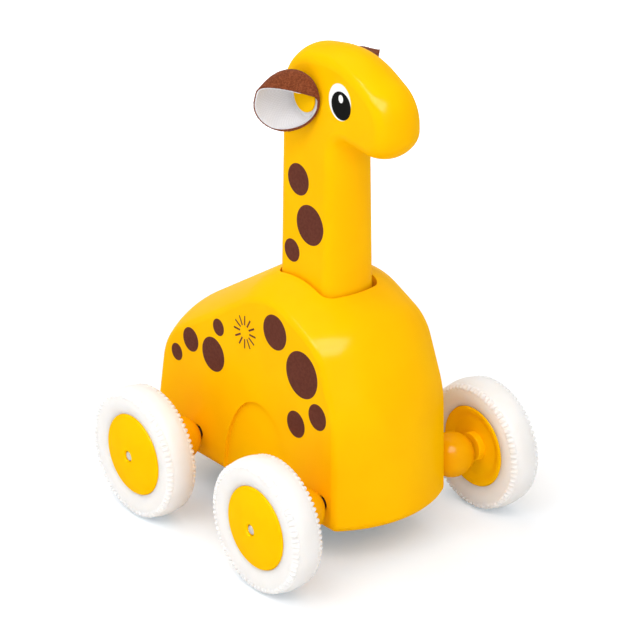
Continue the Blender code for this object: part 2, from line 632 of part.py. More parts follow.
def make_plunger(neck, head):
    """Plate and toothed rack under the neck, with the screws that hold them to it."""
    bm = prism(rounded_rectangle(PLUNGER_REAR - NECK_AXIS_X, PLUNGER_FRONT - NECK_AXIS_X,
                                 PLUNGER_HALF, PLATE_CORNER),
               (0, 0, PLUNGER_UNDER), (0, 0, PLUNGER_TOP))
    plunger = piece("plunger_rack", bm, "nylon_white", neck)
    bar = [(x - NECK_AXIS_X, z) for x, z in rack_outline()]
    boolean(plunger, cutter("rack_bar", side_prism(bar, RACK_RIGHT, RACK_LEFT), neck), "UNION")
    middle = (PLUNGER_UNDER + PLUNGER_TOP) / 2
    peg = spigot("plunger_spigot", neck, PLUNGER_UNDER - SPIGOT, middle)
    peg.location = (0, 0, 0)
    boolean(plunger, peg, "UNION")
    for number, x in enumerate((-NECK_SCREW_OFFSET, NECK_SCREW_OFFSET), 1):
        screw(f"neck_screw_{number}", NECK_SCREW, neck, (x, 0, PLUNGER_UNDER), plunger, head)


def make_spring(frame):
    """Return spring between the base plate and the plunger, as one coil of wire."""
    low = PLATE_TOP + SEAT_GAP + SPRING_WIRE
    high = PLUNGER_UNDER - SEAT_GAP - SPRING_WIRE
    curve = bpy.data.curves.new("return_spring", "CURVE")
    curve.dimensions = "3D"
    curve.bevel_depth = SPRING_WIRE
    curve.bevel_resolution = 1
    curve.use_fill_caps = True
    per_turn = 8
    count = SPRING_TURNS * per_turn
    spline = curve.splines.new("POLY")
    spline.points.add(count)
    for k, point in enumerate(spline.points):
        angle = math.tau * k / per_turn
        height = low + (high - low) * k / count
        point.co = (SPRING_RADIUS * math.cos(angle), SPRING_RADIUS * math.sin(angle), height, 1)
    curve.materials.append(material("steel"))
    spring = bpy.data.objects.new("return_spring", curve)
    spring.location = (NECK_AXIS_X, 0, 0)
    spring.parent = frame
    bpy.context.collection.objects.link(spring)


def make_gears(frame, plate, rear_axle):
    """Two-step gear on its shaft in a frame, and the drive gear with its one-way clutch."""
    gears = pivot("gear_pivot", frame, (SHAFT_X, 0, SHAFT_HEIGHT))
    down = math.atan2(AXLE_HEIGHT - SHAFT_HEIGHT, REAR_AXLE_X - SHAFT_X)
    wheel = side_prism(gear_outline(WHEEL_TEETH, down), WHEEL_RIGHT, WHEEL_LEFT)
    gear = piece("two_step_gear", wheel, "nylon_white", gears)
    middle = (WHEEL_RIGHT + WHEEL_LEFT) / 2
    pinion = side_prism(gear_outline(PINION_TEETH, 0), PINION_RIGHT, middle)
    boolean(gear, cutter("pinion_part", pinion, gears), "UNION")
    bore = SHAFT_RADIUS + SEAT_GAP
    ends = (PINION_RIGHT - CUT_PAST, WHEEL_LEFT + CUT_PAST)
    tool = turned([(0, ends[0]), (bore, ends[0]), (bore, ends[1]), (0, ends[1])], steps=SMALL_ROUND)
    shaft_cut = cutter("gear_shaft_cut", tool, gears)
    boolean(gear, shaft_cut)

    cheek_right = PINION_RIGHT - SEAT_GAP
    cheek_left = WHEEL_LEFT + SEAT_GAP
    shaft = [(0, cheek_right - CHEEK), (SHAFT_RADIUS, cheek_right - CHEEK),
             (SHAFT_RADIUS, cheek_left + CHEEK), (0, cheek_left + CHEEK)]
    piece("gear_shaft", turned(shaft, steps=SMALL_ROUND), "steel", frame, (SHAFT_X, 0, SHAFT_HEIGHT))

    cheek = [(SHAFT_X - CHEEK_FOOT_HALF, FRAME_BOTTOM), (SHAFT_X + CHEEK_FOOT_HALF, FRAME_BOTTOM)]
    for step in range(9):
        angle = math.pi * step / 8
        cheek.append((SHAFT_X + CHEEK_ROUND * math.cos(angle), SHAFT_HEIGHT + CHEEK_ROUND * math.sin(angle)))
    holder = piece("gear_frame", side_prism(cheek, cheek_right - CHEEK, cheek_left + CHEEK),
                   "plastic_black", frame)
    past = CHEEK_FOOT_HALF + CUT_PAST
    tall = SHAFT_HEIGHT + CHEEK_ROUND + CUT_PAST
    gap = [(SHAFT_X - past, FRAME_FLOOR_TOP), (SHAFT_X + past, FRAME_FLOOR_TOP),
           (SHAFT_X + past, tall), (SHAFT_X - past, tall)]
    boolean(holder, cutter("gear_frame_gap", side_prism(gap, cheek_right, cheek_left), frame))
    boolean(holder, shaft_cut)
    for number, y in enumerate((cheek_right + CHEEK, cheek_left - CHEEK), 1):
        screw(f"frame_screw_{number}", FRAME_SCREW, frame, (SHAFT_X, y, BODY_BOTTOM), plate, holder)

    drive = pivot("drive_gear_pivot", frame, (REAR_AXLE_X, 0, AXLE_HEIGHT))
    phase = down + math.pi + math.pi / DRIVE_TEETH
    drive_gear = piece("drive_gear", side_prism(gear_outline(DRIVE_TEETH, phase), WHEEL_RIGHT, WHEEL_LEFT),
                       "nylon_white", drive)
    collar = AXLE_BORE + CLUTCH_WALL
    cup = CLUTCH_RADIUS + SEAT_GAP
    sleeve_start = WHEEL_LEFT + RUN_GAP
    cup_start = sleeve_start + CLUTCH_WALL
    sleeve_end = BUSH_INNER - SEAT_GAP
    sleeve = [(0, middle), (collar, middle), (collar, sleeve_start), (cup + CLUTCH_WALL, sleeve_start),
              (cup + CLUTCH_WALL, sleeve_end), (0, sleeve_end)]
    boolean(drive_gear, cutter("drive_sleeve", turned(sleeve, steps=SMALL_ROUND), drive), "UNION")
    start = WHEEL_RIGHT - CUT_PAST
    end = sleeve_end + CUT_PAST
    hollow = [(0, start), (AXLE_BORE, start), (AXLE_BORE, cup_start), (cup, cup_start), (cup, end), (0, end)]
    boolean(drive_gear, cutter("drive_bore", turned(hollow, steps=SMALL_ROUND), drive))
    first = cup_start + SEAT_GAP
    clutch = [(AXLE_BORE, first), (CLUTCH_RADIUS, first),
              (CLUTCH_RADIUS, sleeve_end), (AXLE_BORE, sleeve_end)]
    piece("one_way_clutch", turned(clutch, steps=SMALL_ROUND, ring=True), "steel", drive)
    inner_end = -BUSH_INNER + SEAT_GAP
    outer_end = WHEEL_RIGHT - SEAT_GAP
    spacer = [(AXLE_BORE, inner_end), (SPACER_RADIUS, inner_end),
              (SPACER_RADIUS, outer_end), (AXLE_BORE, outer_end)]
    piece("axle_spacer", turned(spacer, steps=SMALL_ROUND, ring=True), "nylon_white", rear_axle)


def tyre_mesh():
    """White tyre: a smooth tread band between two rows of small teeth on the shoulders."""
    half = TYRE_WIDTH / 2
    bead = HUB_SEAT_RADIUS + SEAT_GAP
    lip = HUB_RADIUS + SEAT_GAP
    seat_half = HUB_THICKNESS / 2 - HUB_RIM - SEAT_GAP
    wall = TYRE_RADIUS - lip
    teeth = TREAD_TEETH
    one_side = [
        (bead, seat_half, teeth // 2, 0.0),
        (lip, seat_half, teeth // 2, 0.0),
        (lip, seat_half + HUB_RIM, teeth // 2, 0.0),
        (lip + TYRE_BULGE_AT * wall, half, teeth, 0.0),
        (lip + TYRE_TEETH_AT * wall, TYRE_TEETH_HALF, 2 * teeth, TOOTH_DEPTH),
        (TYRE_RADIUS, TREAD_WIDTH / 2, teeth, 0.0),
    ]
    bm = bmesh.new()
    rings = []
    for sign, rows in ((1, one_side), (-1, one_side[::-1])):
        for radius, y, count, wave in rows:
            ring = []
            for k in range(count):
                angle = math.tau * k / count
                reach = radius + (wave if k % 2 else 0.0)
                ring.append(bm.verts.new((reach * math.cos(angle), sign * y, reach * math.sin(angle))))
            rings.append(ring)
    for ring, after in zip(rings, rings[1:] + rings[:1]):
        join_rings(bm, ring, after)
    return bm


def join_rings(bm, ring, after):
    """Faces between two rings, of which one may have twice as many points."""
    if len(after) < len(ring):
        ring, after = after, ring
    count = len(ring)
    if len(after) == count:
        for k in range(count):
            n = (k + 1) % count
            bm.faces.new((ring[k], ring[n], after[n], after[k]))
        return
    for k in range(count):
        n = (k + 1) % count
        nearby = [after[2 * k], after[2 * k + 1], after[(2 * k + 2) % len(after)]]
        bm.faces.new((ring[k], nearby[1], nearby[0]))
        bm.faces.new((ring[k], ring[n], nearby[1]))
        bm.faces.new((ring[n], nearby[2], nearby[1]))


def hub_profile():
    """Hub section: domed outer face, tyre seat between two rims, boss on the inner face."""
    back = -HUB_THICKNESS / 2
    face = HUB_THICKNESS / 2
    dome = (HUB_RADIUS - HUB_ROUND, HUB_RADIUS / 2, AXLE_BORE)
    return [
        (AXLE_BORE, back - HUB_BOSS), (HUB_BOSS_RADIUS, back - HUB_BOSS), (HUB_BOSS_RADIUS, back),
        (HUB_RADIUS, back), (HUB_RADIUS, back + HUB_RIM), (HUB_SEAT_RADIUS, back + HUB_RIM),
        (HUB_SEAT_RADIUS, face - HUB_RIM), (HUB_RADIUS, face - HUB_RIM), (HUB_RADIUS, face - HUB_ROUND),
        *[(radius, face + dome_rise(radius)) for radius in dome],
    ]


def dome_rise(radius):
    """How far the domed hub face stands past its rim at a radius."""
    return HUB_DOME * (1 - (radius / (HUB_RADIUS - HUB_ROUND)) ** 2)


def make_axle(frame, name, x):
    """Axle with its two wheels, the balls inside them and the bushes that it turns in."""
    turning = pivot(name + "_axle_pivot", frame, (x, 0, AXLE_HEIGHT))
    end = HUB_FACE + HUB_DOME - AXLE_RECESS
    chamfer = AXLE_RADIUS / 4
    rod = [(0, -end), (AXLE_RADIUS - chamfer, -end), (AXLE_RADIUS, chamfer - end),
           (AXLE_RADIUS, end - chamfer), (AXLE_RADIUS - chamfer, end), (0, end)]
    piece(name + "_axle", turned(rod, steps=SMALL_ROUND), "steel", turning)
    dip = math.asin(AXLE_BORE / BALL_RADIUS)
    arc = [-math.pi / 2 + dip + (math.pi - 2 * dip) * k / 7 for k in range(8)]
    ball = [(BALL_RADIUS * math.cos(a), BALL_RADIUS * math.sin(a)) for a in arc]
    bush_half = (AXLE_FLANK - BUSH_RECESS - BUSH_INNER) / 2
    bush = [(AXLE_BORE, -bush_half), (BUSH_RADIUS, -bush_half), (BUSH_RADIUS, bush_half),
            (AXLE_BORE, bush_half)]
    wheel_y = HUB_FACE - HUB_THICKNESS / 2
    for side, sign in SIDES.items():
        tag = f"{name}_{side}"
        hub = turned([(radius, sign * y) for radius, y in hub_profile()], ring=True)
        piece(tag + "_hub", hub, "plastic_yellow", turning, (0, sign * wheel_y, 0))
        piece(tag + "_tyre", tyre_mesh(), "rubber_white", turning, (0, sign * wheel_y, 0))
        piece(tag + "_ball", turned(ball, steps=BALL_ROUND, ring=True), "plastic_yellow", turning,
              (0, sign * BALL_CENTRE, 0))
        place = (x, sign * (BUSH_INNER + bush_half), AXLE_HEIGHT)
        piece(tag + "_bush", turned(bush, steps=BUSH_ROUND, ring=True), "plastic_black", frame, place)
    return turning


def main():
    for thing in list(bpy.data.objects):
        bpy.data.objects.remove(thing)
    frame = pivot("giraffe", None, (ORIGIN_SHIFT, 0, 0))
    body = make_body(frame)
    plate = make_base(frame, body)
    make_axle(frame, "front", FRONT_AXLE_X)
    rear_axle = make_axle(frame, "rear", REAR_AXLE_X)
    neck = pivot("neck_slide_axis", frame, (NECK_AXIS_X, 0, 0))
    head = make_neck(neck)
    make_plunger(neck, head)
    make_spring(frame)
    make_gears(frame, plate, rear_axle)


main()
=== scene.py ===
import json
import math
import random

import bpy
import bmesh
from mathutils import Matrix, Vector, noise


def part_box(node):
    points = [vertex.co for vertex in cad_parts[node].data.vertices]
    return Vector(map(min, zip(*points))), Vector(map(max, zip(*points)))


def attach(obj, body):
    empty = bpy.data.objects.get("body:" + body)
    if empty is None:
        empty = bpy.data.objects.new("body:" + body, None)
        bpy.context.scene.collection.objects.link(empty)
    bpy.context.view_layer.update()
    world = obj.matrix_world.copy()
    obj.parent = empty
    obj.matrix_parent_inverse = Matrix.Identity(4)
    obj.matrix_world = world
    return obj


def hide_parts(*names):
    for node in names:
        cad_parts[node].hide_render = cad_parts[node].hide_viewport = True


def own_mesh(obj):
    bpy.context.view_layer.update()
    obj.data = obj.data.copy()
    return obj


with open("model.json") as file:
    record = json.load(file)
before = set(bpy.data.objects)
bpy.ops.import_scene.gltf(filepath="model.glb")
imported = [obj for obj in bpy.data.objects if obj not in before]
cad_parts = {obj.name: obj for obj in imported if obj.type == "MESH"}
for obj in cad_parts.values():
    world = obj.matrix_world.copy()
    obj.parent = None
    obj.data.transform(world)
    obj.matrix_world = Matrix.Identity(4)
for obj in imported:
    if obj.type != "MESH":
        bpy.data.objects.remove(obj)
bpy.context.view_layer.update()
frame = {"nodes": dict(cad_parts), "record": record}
NODES = frame["nodes"]

# Clearances, as in the part
SEAT_GAP = 0.0003
CUT_PAST = 0.004

# Body block
FLANK_HALF = 0.0227                # half width at the bottom
BODY_DRAFT = 0.016                 # loss of half width per metre of height
BODY_CROWN = 0.0074
BODY_EDGE = 0.0031
BODY_BOTTOM = 0.0129
BOTTOM_EDGE = 0.0028
REAR_FOOT_X = -0.05474
FRONT_FOOT_X = 0.0373
BODY_BENDS = [                     # corners of the flank outline: x, height, radius
    (-0.0486, 0.0501, 0.0198),
    (0.0030, 0.0822, 0.0250),
    (0.0286, 0.0707, 0.0138),
    (0.0369, 0.0493, 0.0284),
]
REAR_LEAN = math.atan2(BODY_BENDS[0][0] - REAR_FOOT_X, BODY_BENDS[0][1] - BODY_BOTTOM)
BODY_TOP = BODY_BENDS[1][1]
ARCH_HALF = 0.0176
ARCH_HEIGHT = 0.0433
ARCH_DEPTH = 0.0011
POCKET_HALF = 0.0132
POCKET_ROOF = 0.0620
GEAR_ROOF = 0.0471
POCKET_STEP = -0.0166
POCKET_ROOM = 0.0016               # pocket past the rack in front and past the drive gear behind
PLATE_TOP = 0.0144
REBATE_CORNER = 0.0043             # corner radius of the seat that the base plate lies in
BUSH_BORE = 0.0035
AXLE_BORE = 0.0021
BUSH_INNER = 0.0130
BUSH_OUTER = 0.0199
FLANK_HOLE = 0.0027
SCREW_BORE = 0.0016
SLOT_ROUND = 0.0005
SLOT_RIM_ABOVE = 0.008             # slot edges this far above the pocket's roof are its upper rim
SLOT_RIM_FACING = 0.4              # least upward share of a face that meets that rim
BOTTOM_STEPS = 5
CORNER_STEPS = 6
ARCH_STEPS = 60

# Neck and head
NECK_AXIS_X = 0.0063
NECK_LENGTH = 0.0280
NECK_HALF = 0.0101
NECK_DRAFT = 0.0236
NECK_CROWN = 0.0031
NECK_EDGE = 0.0040
NECK_PLAY = 0.0010
NECK_SIDE_PLAY = 0.0008
NECK_REAR_PLAY = 0.0002
SLOT_SHIFT = 0.0003                # slot's middle to the left of the neck's
NECK_FLAT_HALF = NECK_LENGTH / 2 - NECK_CROWN
JAW_HEIGHT = 0.1353
HEAD_BENDS = [                     # forward of the neck axis, above the jaw, radius
    (-NECK_FLAT_HALF, 0.0183, 0.0130),
    (0.0145, 0.0227, 0.0300),
    (0.0336, 0.0121, 0.0112),
    (0.0338, -0.0026, 0.0058),
    (NECK_FLAT_HALF, 0.0, 0.0065),
]
PLUG_REACH = 0.0014
PLUG_RISE = 0.0086
PLUG_HEAD_RADIUS = 0.0048
PLUG_HEAD = 0.0009
PLUG_SHANK_RADIUS = 0.0022
PLUG_SHANK = 0.0065
PLUG_RIM = 0.55                    # share of the head's height in its rounded rim
PLUG_TIP = 0.8                     # share of the shank's radius left at its tip
PLUG_CHAMFER = 0.0005
EAR_FELT = 0.0007
LINING = 0.0003                    # thickness of the white cloth inside the felt
LAYER_GAP = 0.00005
EAR_BASE_REACH = 0.0003
EAR_BASE_RISE = 0.0084
EAR_BASE_RADIUS = 0.0068
EAR_MOUTH = (0.0007, 0.0084, 0.0069)    # its centre: forward, out from the head, above the jaw
EAR_MOUTH_RADIUS = 0.0092
EAR_MOUTH_ROOF = 0.68              # mouth's rise above its centre, as a share of its radius
EAR_ROOF_POWER = {"right": 0.33, "left": 0.40}     # less is a flatter roof with tighter corners
EAR_TRIM = {"felt": 0.64, "lining": 0.97}          # share of the wall's height cut away in front
EAR_TRIM_AT = {"felt": math.radians(-12), "lining": math.radians(-18)}
EAR_TRIM_POWER = {"felt": 5, "lining": 2.2}
EAR_ROUGH = {"felt": 0.00008, "lining": 0.00002}   # height of the waves in a layer's surface
EAR_WAVES = 2200                   # waves per metre
EAR_SEED = 7                       # makes the waves the same on every run
EAR_SMOOTH_FOOT = 1 / 6            # share of the wall over which the waves grow to full height
EAR_SIDES = 120                    # mesh steps round the cup
EAR_RISE_STEPS = 18                # mesh steps from floor to mouth
EAR_FIBRES = 900
EDGE_FIBRES = 3                    # one fibre in so many stands on the cut edge
FIBRE_FROM = 0.15                  # lowest share of the wall that has fibres
FIBRE_ROOT = 0.00005               # depth of a fibre's root in the felt
FIBRE_PROBE = 0.001                # outside the felt, to find which way is out
FIBRE_HALF = 0.00003
FIBRE_LEAN = 0.6
FIBRE_LENGTH = (0.0002, 0.00045)
EAR_YAW = math.radians(46)
EAR_PITCH = math.radians(15)
EAR_ROLL = math.radians(-11.3)
EAR_BULGE = 0.0030                 # swell of the wall halfway up, at the top of the cup
EAR_FRONT_BULGE = 0.2              # shares of it in front, behind and below
EAR_REAR_BULGE = 1.18
EAR_LOW_BULGE = 0.2
EAR_LIFT = {"right": 0.0, "left": 0.20}            # rise per metre out from the head
EAR_DROOP = {"right": 0.0, "left": 0.0021}         # how far the roof's edge hangs down

# Wheels
TYRE_RADIUS = 0.0214
TYRE_HALF = 0.00525
TYRE_RIBS = 72
TYRE_LIP_GAP = 0.00001
TYRE_LIP_HALF = 0.0043             # tyre's half width where it meets the hub
TYRE_LIP_ROUND = 0.0006
TYRE_POWER = 0.84                  # squareness of the tyre's section
RIB_HEIGHT = 0.00075
RIB_RISE = (16, 24)                # degrees round the shoulder over which a rib grows
RIB_FALL = (44, 51)                # degrees round the shoulder over which it ends
RIB_CREST = (0.45, 1.0, 1.0, 1.0, 0.45, 0.0)       # height at the mesh steps of one rib and its gap
RIB_ASIDE = 0.75                   # weight of the sideways direction in which a rib grows
WALL_STEPS = 10                    # mesh steps up the sidewall
TREAD_STEPS = 30                   # mesh steps from the sidewall to the middle of the tread
HUB_RADIUS = 0.0134
HUB_SEAT_RADIUS = 0.0118
HUB_THICKNESS = 0.0092
HUB_RIM = 0.0014
HUB_ROUND = 0.0012
HUB_WEB = 0.0012                   # web below the rim on the inner face
HUB_BOSS_RADIUS = 0.0048
HUB_BOSS = 0.0010
HUB_BORE = 0.0019
HUB_SOFT = 0.0004                  # rounding of the boss and of the bore's mouth
HUB_SLOPE = [                      # inner face near its edge: rims in from it, share of the web's depth
    (3, 1),
    (2.4, 0.9),
    (1.6, 0.35),
    (1.1, 0.06),
]
HUB_SIDES = 96
HUB_LIFT = 0.0004                  # outer face past the seat's own width
HUB_DOME = 0.0017                  # middle of the outer face past its rim
DOME_STEPS = 12
BALL_STEPS = 40
ROUND_SIDES = 64                   # mesh steps round a ball or a plug

# Return spring
SPRING_WIRE = 0.0006
SPRING_TURNS = 6
SPRING_STEPS = 36                  # mesh steps in a turn
WIRE_SIDES = 12

# Countersunk screws
BASE_SCREWS = [f"base_screw_{number}" for number in (1, 2, 3, 4)]
FRAME_SCREWS = ["frame_screw_1", "frame_screw_2"]
NECK_SCREWS = ["neck_screw_1", "neck_screw_2"]
SCREW_RADIUS = 0.0013
SCREW_HEAD = 0.0013
SCREW_TIP = 0.0012
SCREW_RIM = 0.0002                 # rounding of the head's edge
CROSS_HALF = 0.00038
CROSS_REACH = 0.0016
CROSS_DEPTH = 0.0009
SCREW_SIDES = 40
BORE_SIDES = 24

SIDES = {"right": -1, "left": 1}
ENDS = ("front", "rear")
ARC_STEP = math.radians(3)
SHARP = math.radians(35)


def middle(node):
    """Centre of a CAD node's box."""
    low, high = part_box(node)
    return (Vector(low) + Vector(high)) / 2


SHIFT = (middle("front_axle").x + middle("rear_axle").x) / 2


# Materials

class Paint:
    """Principled material whose sockets are fed by a few procedural nodes."""

    def __init__(self, name, **plain):
        self.material = bpy.data.materials.new(name)
        self.material.use_nodes = True
        self.tree = self.material.node_tree
        self.shader = self.tree.nodes["Principled BSDF"]
        for socket, value in plain.items():
            self.shader.inputs[socket.replace("_", " ")].default_value = value
        self.place = self.add("ShaderNodeTexCoord").outputs["Object"]

    def add(self, kind, **settings):
        node = self.tree.nodes.new(kind)
        for key, value in settings.items():
            setattr(node, key, value)
        return node

    def feed(self, socket, source):
        if hasattr(source, "is_linked"):
            self.tree.links.new(source, socket)
        else:
            socket.default_value = source

    def maths(self, operation, *sources):
        node = self.add("ShaderNodeMath", operation=operation)
        for socket, source in zip(node.inputs, sources):
            self.feed(socket, source)
        return node.outputs[0]

    def vector(self, operation, *sources):
        node = self.add("ShaderNodeVectorMath", operation=operation)
        for socket, source in zip(node.inputs, sources):
            self.feed(socket, source)
        return node.outputs["Value" if operation in ("LENGTH", "DOT_PRODUCT") else "Vector"]

    def step(self, value, low, high, start=0.0, end=1.0):
        """Smooth change from start to end as the value goes from low to high."""
        node = self.add("ShaderNodeMapRange", interpolation_type="SMOOTHSTEP")
        for socket, source in zip(node.inputs, (value, low, high, start, end)):
            self.feed(socket, source)
        return node.outputs[0]

    def noise(self, size, detail=2.0, stretch=None):
        """Noise whose cells are about that many metres across."""
        place = self.vector("MULTIPLY", self.place, stretch) if stretch else self.place
        node = self.add("ShaderNodeTexNoise")
        self.feed(node.inputs["Vector"], place)
        node.inputs["Scale"].default_value = 1 / size
        node.inputs["Detail"].default_value = detail
        return node.outputs["Fac"]

    def mix(self, share, first, second):
        node = self.add("ShaderNodeMix", data_type="RGBA")
        self.feed(node.inputs["Factor"], share)
        for socket, source in ((node.inputs[6], first), (node.inputs[7], second)):
            self.feed(socket, source if hasattr(source, "is_linked") else (*source, 1.0))
        return node.outputs[2]

    def colour(self, source):
        self.feed(self.shader.inputs["Base Color"], source)

    def rough(self, value, low, high):
        self.feed(self.shader.inputs["Roughness"], self.step(value, 0.3, 0.7, low, high))

    def bump(self, height, depth, strength=1.0):
        node = self.add("ShaderNodeBump")
        node.inputs["Distance"].default_value = depth
        node.inputs["Strength"].default_value = strength
        self.feed(node.inputs["Height"], height)
        self.feed(self.shader.inputs["Normal"], node.outputs["Normal"])

    def coordinates(self):
        node = self.add("ShaderNodeSeparateXYZ")
        self.feed(node.inputs[0], self.place)
        return node.outputs

    def ellipse(self, x, z, across, up):
        """Mask of a printed ellipse, seen from the side."""
        offset = self.vector("SUBTRACT", self.place, (x, 0, z))
        size = (across + up) / 2
        reach = self.vector("LENGTH", self.vector("MULTIPLY", offset, (size / across, 0, size / up)))
        return self.step(reach, size + PRINT_SOFT, size - PRINT_SOFT)


YELLOW = (0.975, 0.50, 0.0012)
YELLOW_DEEP = (0.965, 0.475, 0.0010)
PLASTIC = (0.97, 0.525, 0.0012)
PLASTIC_DEEP = (0.96, 0.50, 0.0010)
BALL = (0.86, 0.385, 0.0010)
BALL_DEEP = (0.84, 0.365, 0.0008)
PRINT_BROWN = (0.125, 0.037, 0.024)
PRINT_BROWN_DEEP = (0.108, 0.031, 0.020)
WHITE = (0.86, 0.86, 0.85)
PUPIL = (0.007, 0.007, 0.0065)
RUBBER = (0.82, 0.80, 0.78)
RUBBER_DEEP = (0.79, 0.77, 0.745)
FELT_DEEP = (0.145, 0.036, 0.013)
FELT_PALE = (0.27, 0.074, 0.030)
FELT_SPECK = (0.07, 0.016, 0.006)
THREAD_DEEP = (0.69, 0.695, 0.73)
THREAD_PALE = (0.755, 0.76, 0.795)
THREAD_WORN = (0.715, 0.72, 0.755)
STEEL_DEEP = (0.36, 0.35, 0.34)
STEEL_PALE = (0.47, 0.46, 0.45)
SHAFT_SHADE = (0.035, 0.018, 0.012)     # painted shade: dark shaft of an axle between its plain steel ends, where it runs in the shaded holes
BLACK = (0.021, 0.020, 0.020)
BLACK_DEEP = (0.015, 0.014, 0.014)
NYLON = (0.82, 0.82, 0.78)
NYLON_DEEP = (0.78, 0.78, 0.73)
PRINT_SOFT = 0.00005               # half width of a print's edge
PRINT_REACH = 0.0018               # how far in from the flank the body's prints go
PRINT_FADE = 0.0002
AXLE_SHADE_END = 0.0400               # from here outward an axle has no painted shade
AXLE_FADE = 0.0002
THREAD_PITCH = 0.0008              # two threads of the lining


def lacquer(name):
    """Glossy yellow lacquer with a faint unevenness, before any print."""
    paint = Paint(name, Specular_IOR_Level=0.0, Coat_Weight=0.15, Coat_IOR=1.2, Coat_Roughness=0.17)
    cloud = paint.noise(0.020)
    peel = paint.noise(0.0016, 1.0)
    paint.rough(cloud, 0.20, 0.30)
    paint.bump(peel, 0.00002, 0.35)
    return paint, paint.mix(paint.step(cloud, 0.35, 0.65), YELLOW, YELLOW_DEEP)


def plastic_yellow(name, light, dark, gloss):
    paint = Paint(name, Specular_IOR_Level=0.0, Coat_Weight=gloss, Coat_Roughness=0.10)
    cloud = paint.noise(0.008)
    paint.colour(paint.mix(paint.step(cloud, 0.35, 0.65), light, dark))
    paint.rough(cloud, 0.20, 0.30)
    paint.bump(paint.noise(0.0007, 1.0), 0.00001, 0.4)
    return paint.material


def rubber():
    paint = Paint("soft_rubber", Specular_IOR_Level=0.05, Subsurface_Weight=0.9,
                  Subsurface_Radius=(1.0, 0.9, 0.8), Subsurface_Scale=0.006)
    cloud = paint.noise(0.010)
    paint.colour(paint.mix(paint.step(cloud, 0.3, 0.7), RUBBER, RUBBER_DEEP))
    paint.rough(cloud, 0.48, 0.62)
    paint.bump(paint.noise(0.0004, 2.0), 0.00002, 0.5)
    return paint.material


def felt():
    """Pressed brown wool: short tangled fibres with darker and lighter specks."""
    paint = Paint("brown_felt", Specular_IOR_Level=0.0, Roughness=0.95, Sheen_Weight=0.06,
                  Sheen_Roughness=0.5)
    fibre = paint.noise(0.00042, 3.0, (1.0, 0.6, 1.0))
    speck = paint.noise(0.0003, 2.0)
    base = paint.mix(paint.step(fibre, 0.3, 0.7), FELT_DEEP, FELT_PALE)
    paint.colour(paint.mix(paint.step(speck, 0.58, 0.70), base, FELT_SPECK))
    paint.bump(paint.maths("ADD", fibre, speck), 0.00022, 0.9)
    return paint.material


def weave():
    """White lining cloth in plain weave."""
    paint = Paint("white_lining", Specular_IOR_Level=0.0, Roughness=0.9, Sheen_Weight=0.1)
    cloth = paint.add("ShaderNodeSeparateXYZ")
    paint.feed(cloth.inputs[0], paint.add("ShaderNodeUVMap", uv_map="cloth").outputs["UV"])
    threads = []
    for way in ("X", "Y"):
        turns = paint.maths("MULTIPLY", cloth.outputs[way], math.tau / THREAD_PITCH)
        threads.append(paint.maths("SINE", turns))
    cross = paint.maths("MULTIPLY", *threads)
    shade = paint.step(cross, -0.8, 0.8)
    worn = paint.noise(0.0025)
    thread = paint.mix(shade, THREAD_DEEP, THREAD_PALE)
    paint.colour(paint.mix(paint.step(worn, 0.4, 0.7, 0.0, 0.3), thread, THREAD_WORN))
    paint.bump(cross, 0.00005, 0.6)
    return paint.material


def moulded(name, light, dark, low, high):
    """Plain moulded plastic with a fine grain."""
    paint = Paint(name, Specular_IOR_Level=0.05)
    cloud = paint.noise(0.006)
    grain = paint.noise(0.0005, 2.0)
    paint.colour(paint.mix(paint.step(cloud, 0.3, 0.7), light, dark))
    paint.rough(grain, low, high)
    paint.bump(grain, 0.00002, 0.5)
    return paint.material


def steel(name, shaft=None):
    """Drawn steel, with painted shade on the shaft between an axle's ends."""
    paint = Paint(name, Metallic=1.0)
    draw = paint.noise(0.0006, 2.0, (1.0, 0.08, 1.0))
    base = paint.mix(draw, STEEL_DEEP, STEEL_PALE)
    if shaft:
        # painted shade on the shaft, plain steel at the ends
        side = paint.maths("ABSOLUTE", paint.coordinates()["Y"])
        base = paint.mix(paint.step(side, AXLE_SHADE_END - AXLE_FADE, AXLE_SHADE_END), shaft, base)
    paint.colour(base)
    paint.rough(draw, 0.34, 0.50)
    paint.bump(draw, 0.00001, 0.4)
    return paint.material


BODY_SPOTS = [
    (-0.0423, 0.0458, 0.0029), (-0.0349, 0.0527, 0.00405), (-0.0231, 0.0518, 0.00575),
    (-0.0204, 0.0620, 0.00285), (0.0080, 0.0703, 0.0057), (0.0213, 0.0609, 0.0076),
    (0.0187, 0.0434, 0.00435), (0.0290, 0.0496, 0.00425),
]
NECK_SPOTS = [(0.0035, 0.1159, 0.00505), (0.0094, 0.1028, 0.0064), (0.0010, 0.0920, 0.0037)]
DASHES = 12
DASH_CENTRE = (-0.0070, 0.0651)
DASH_FROM = 0.0023
DASH_TO = 0.0055
DASH_HALF = 0.00032
EYE_WHITE = (0.0223, 0.1459, 0.0051, 0.0057)
EYE_PUPIL = (0.0229, 0.1449, 0.0045, 0.00437)
EYE_GLINT = (0.0227, 0.1470, 0.00105, 0.00125)


def printed(paint, spots):
    """Mask of the brown round spots printed on the flat sides."""
    mask = 0.0
    for x, z, radius in spots:
        mask = paint.maths("MAXIMUM", mask, paint.ellipse(x + SHIFT, z, radius, radius))
    return mask


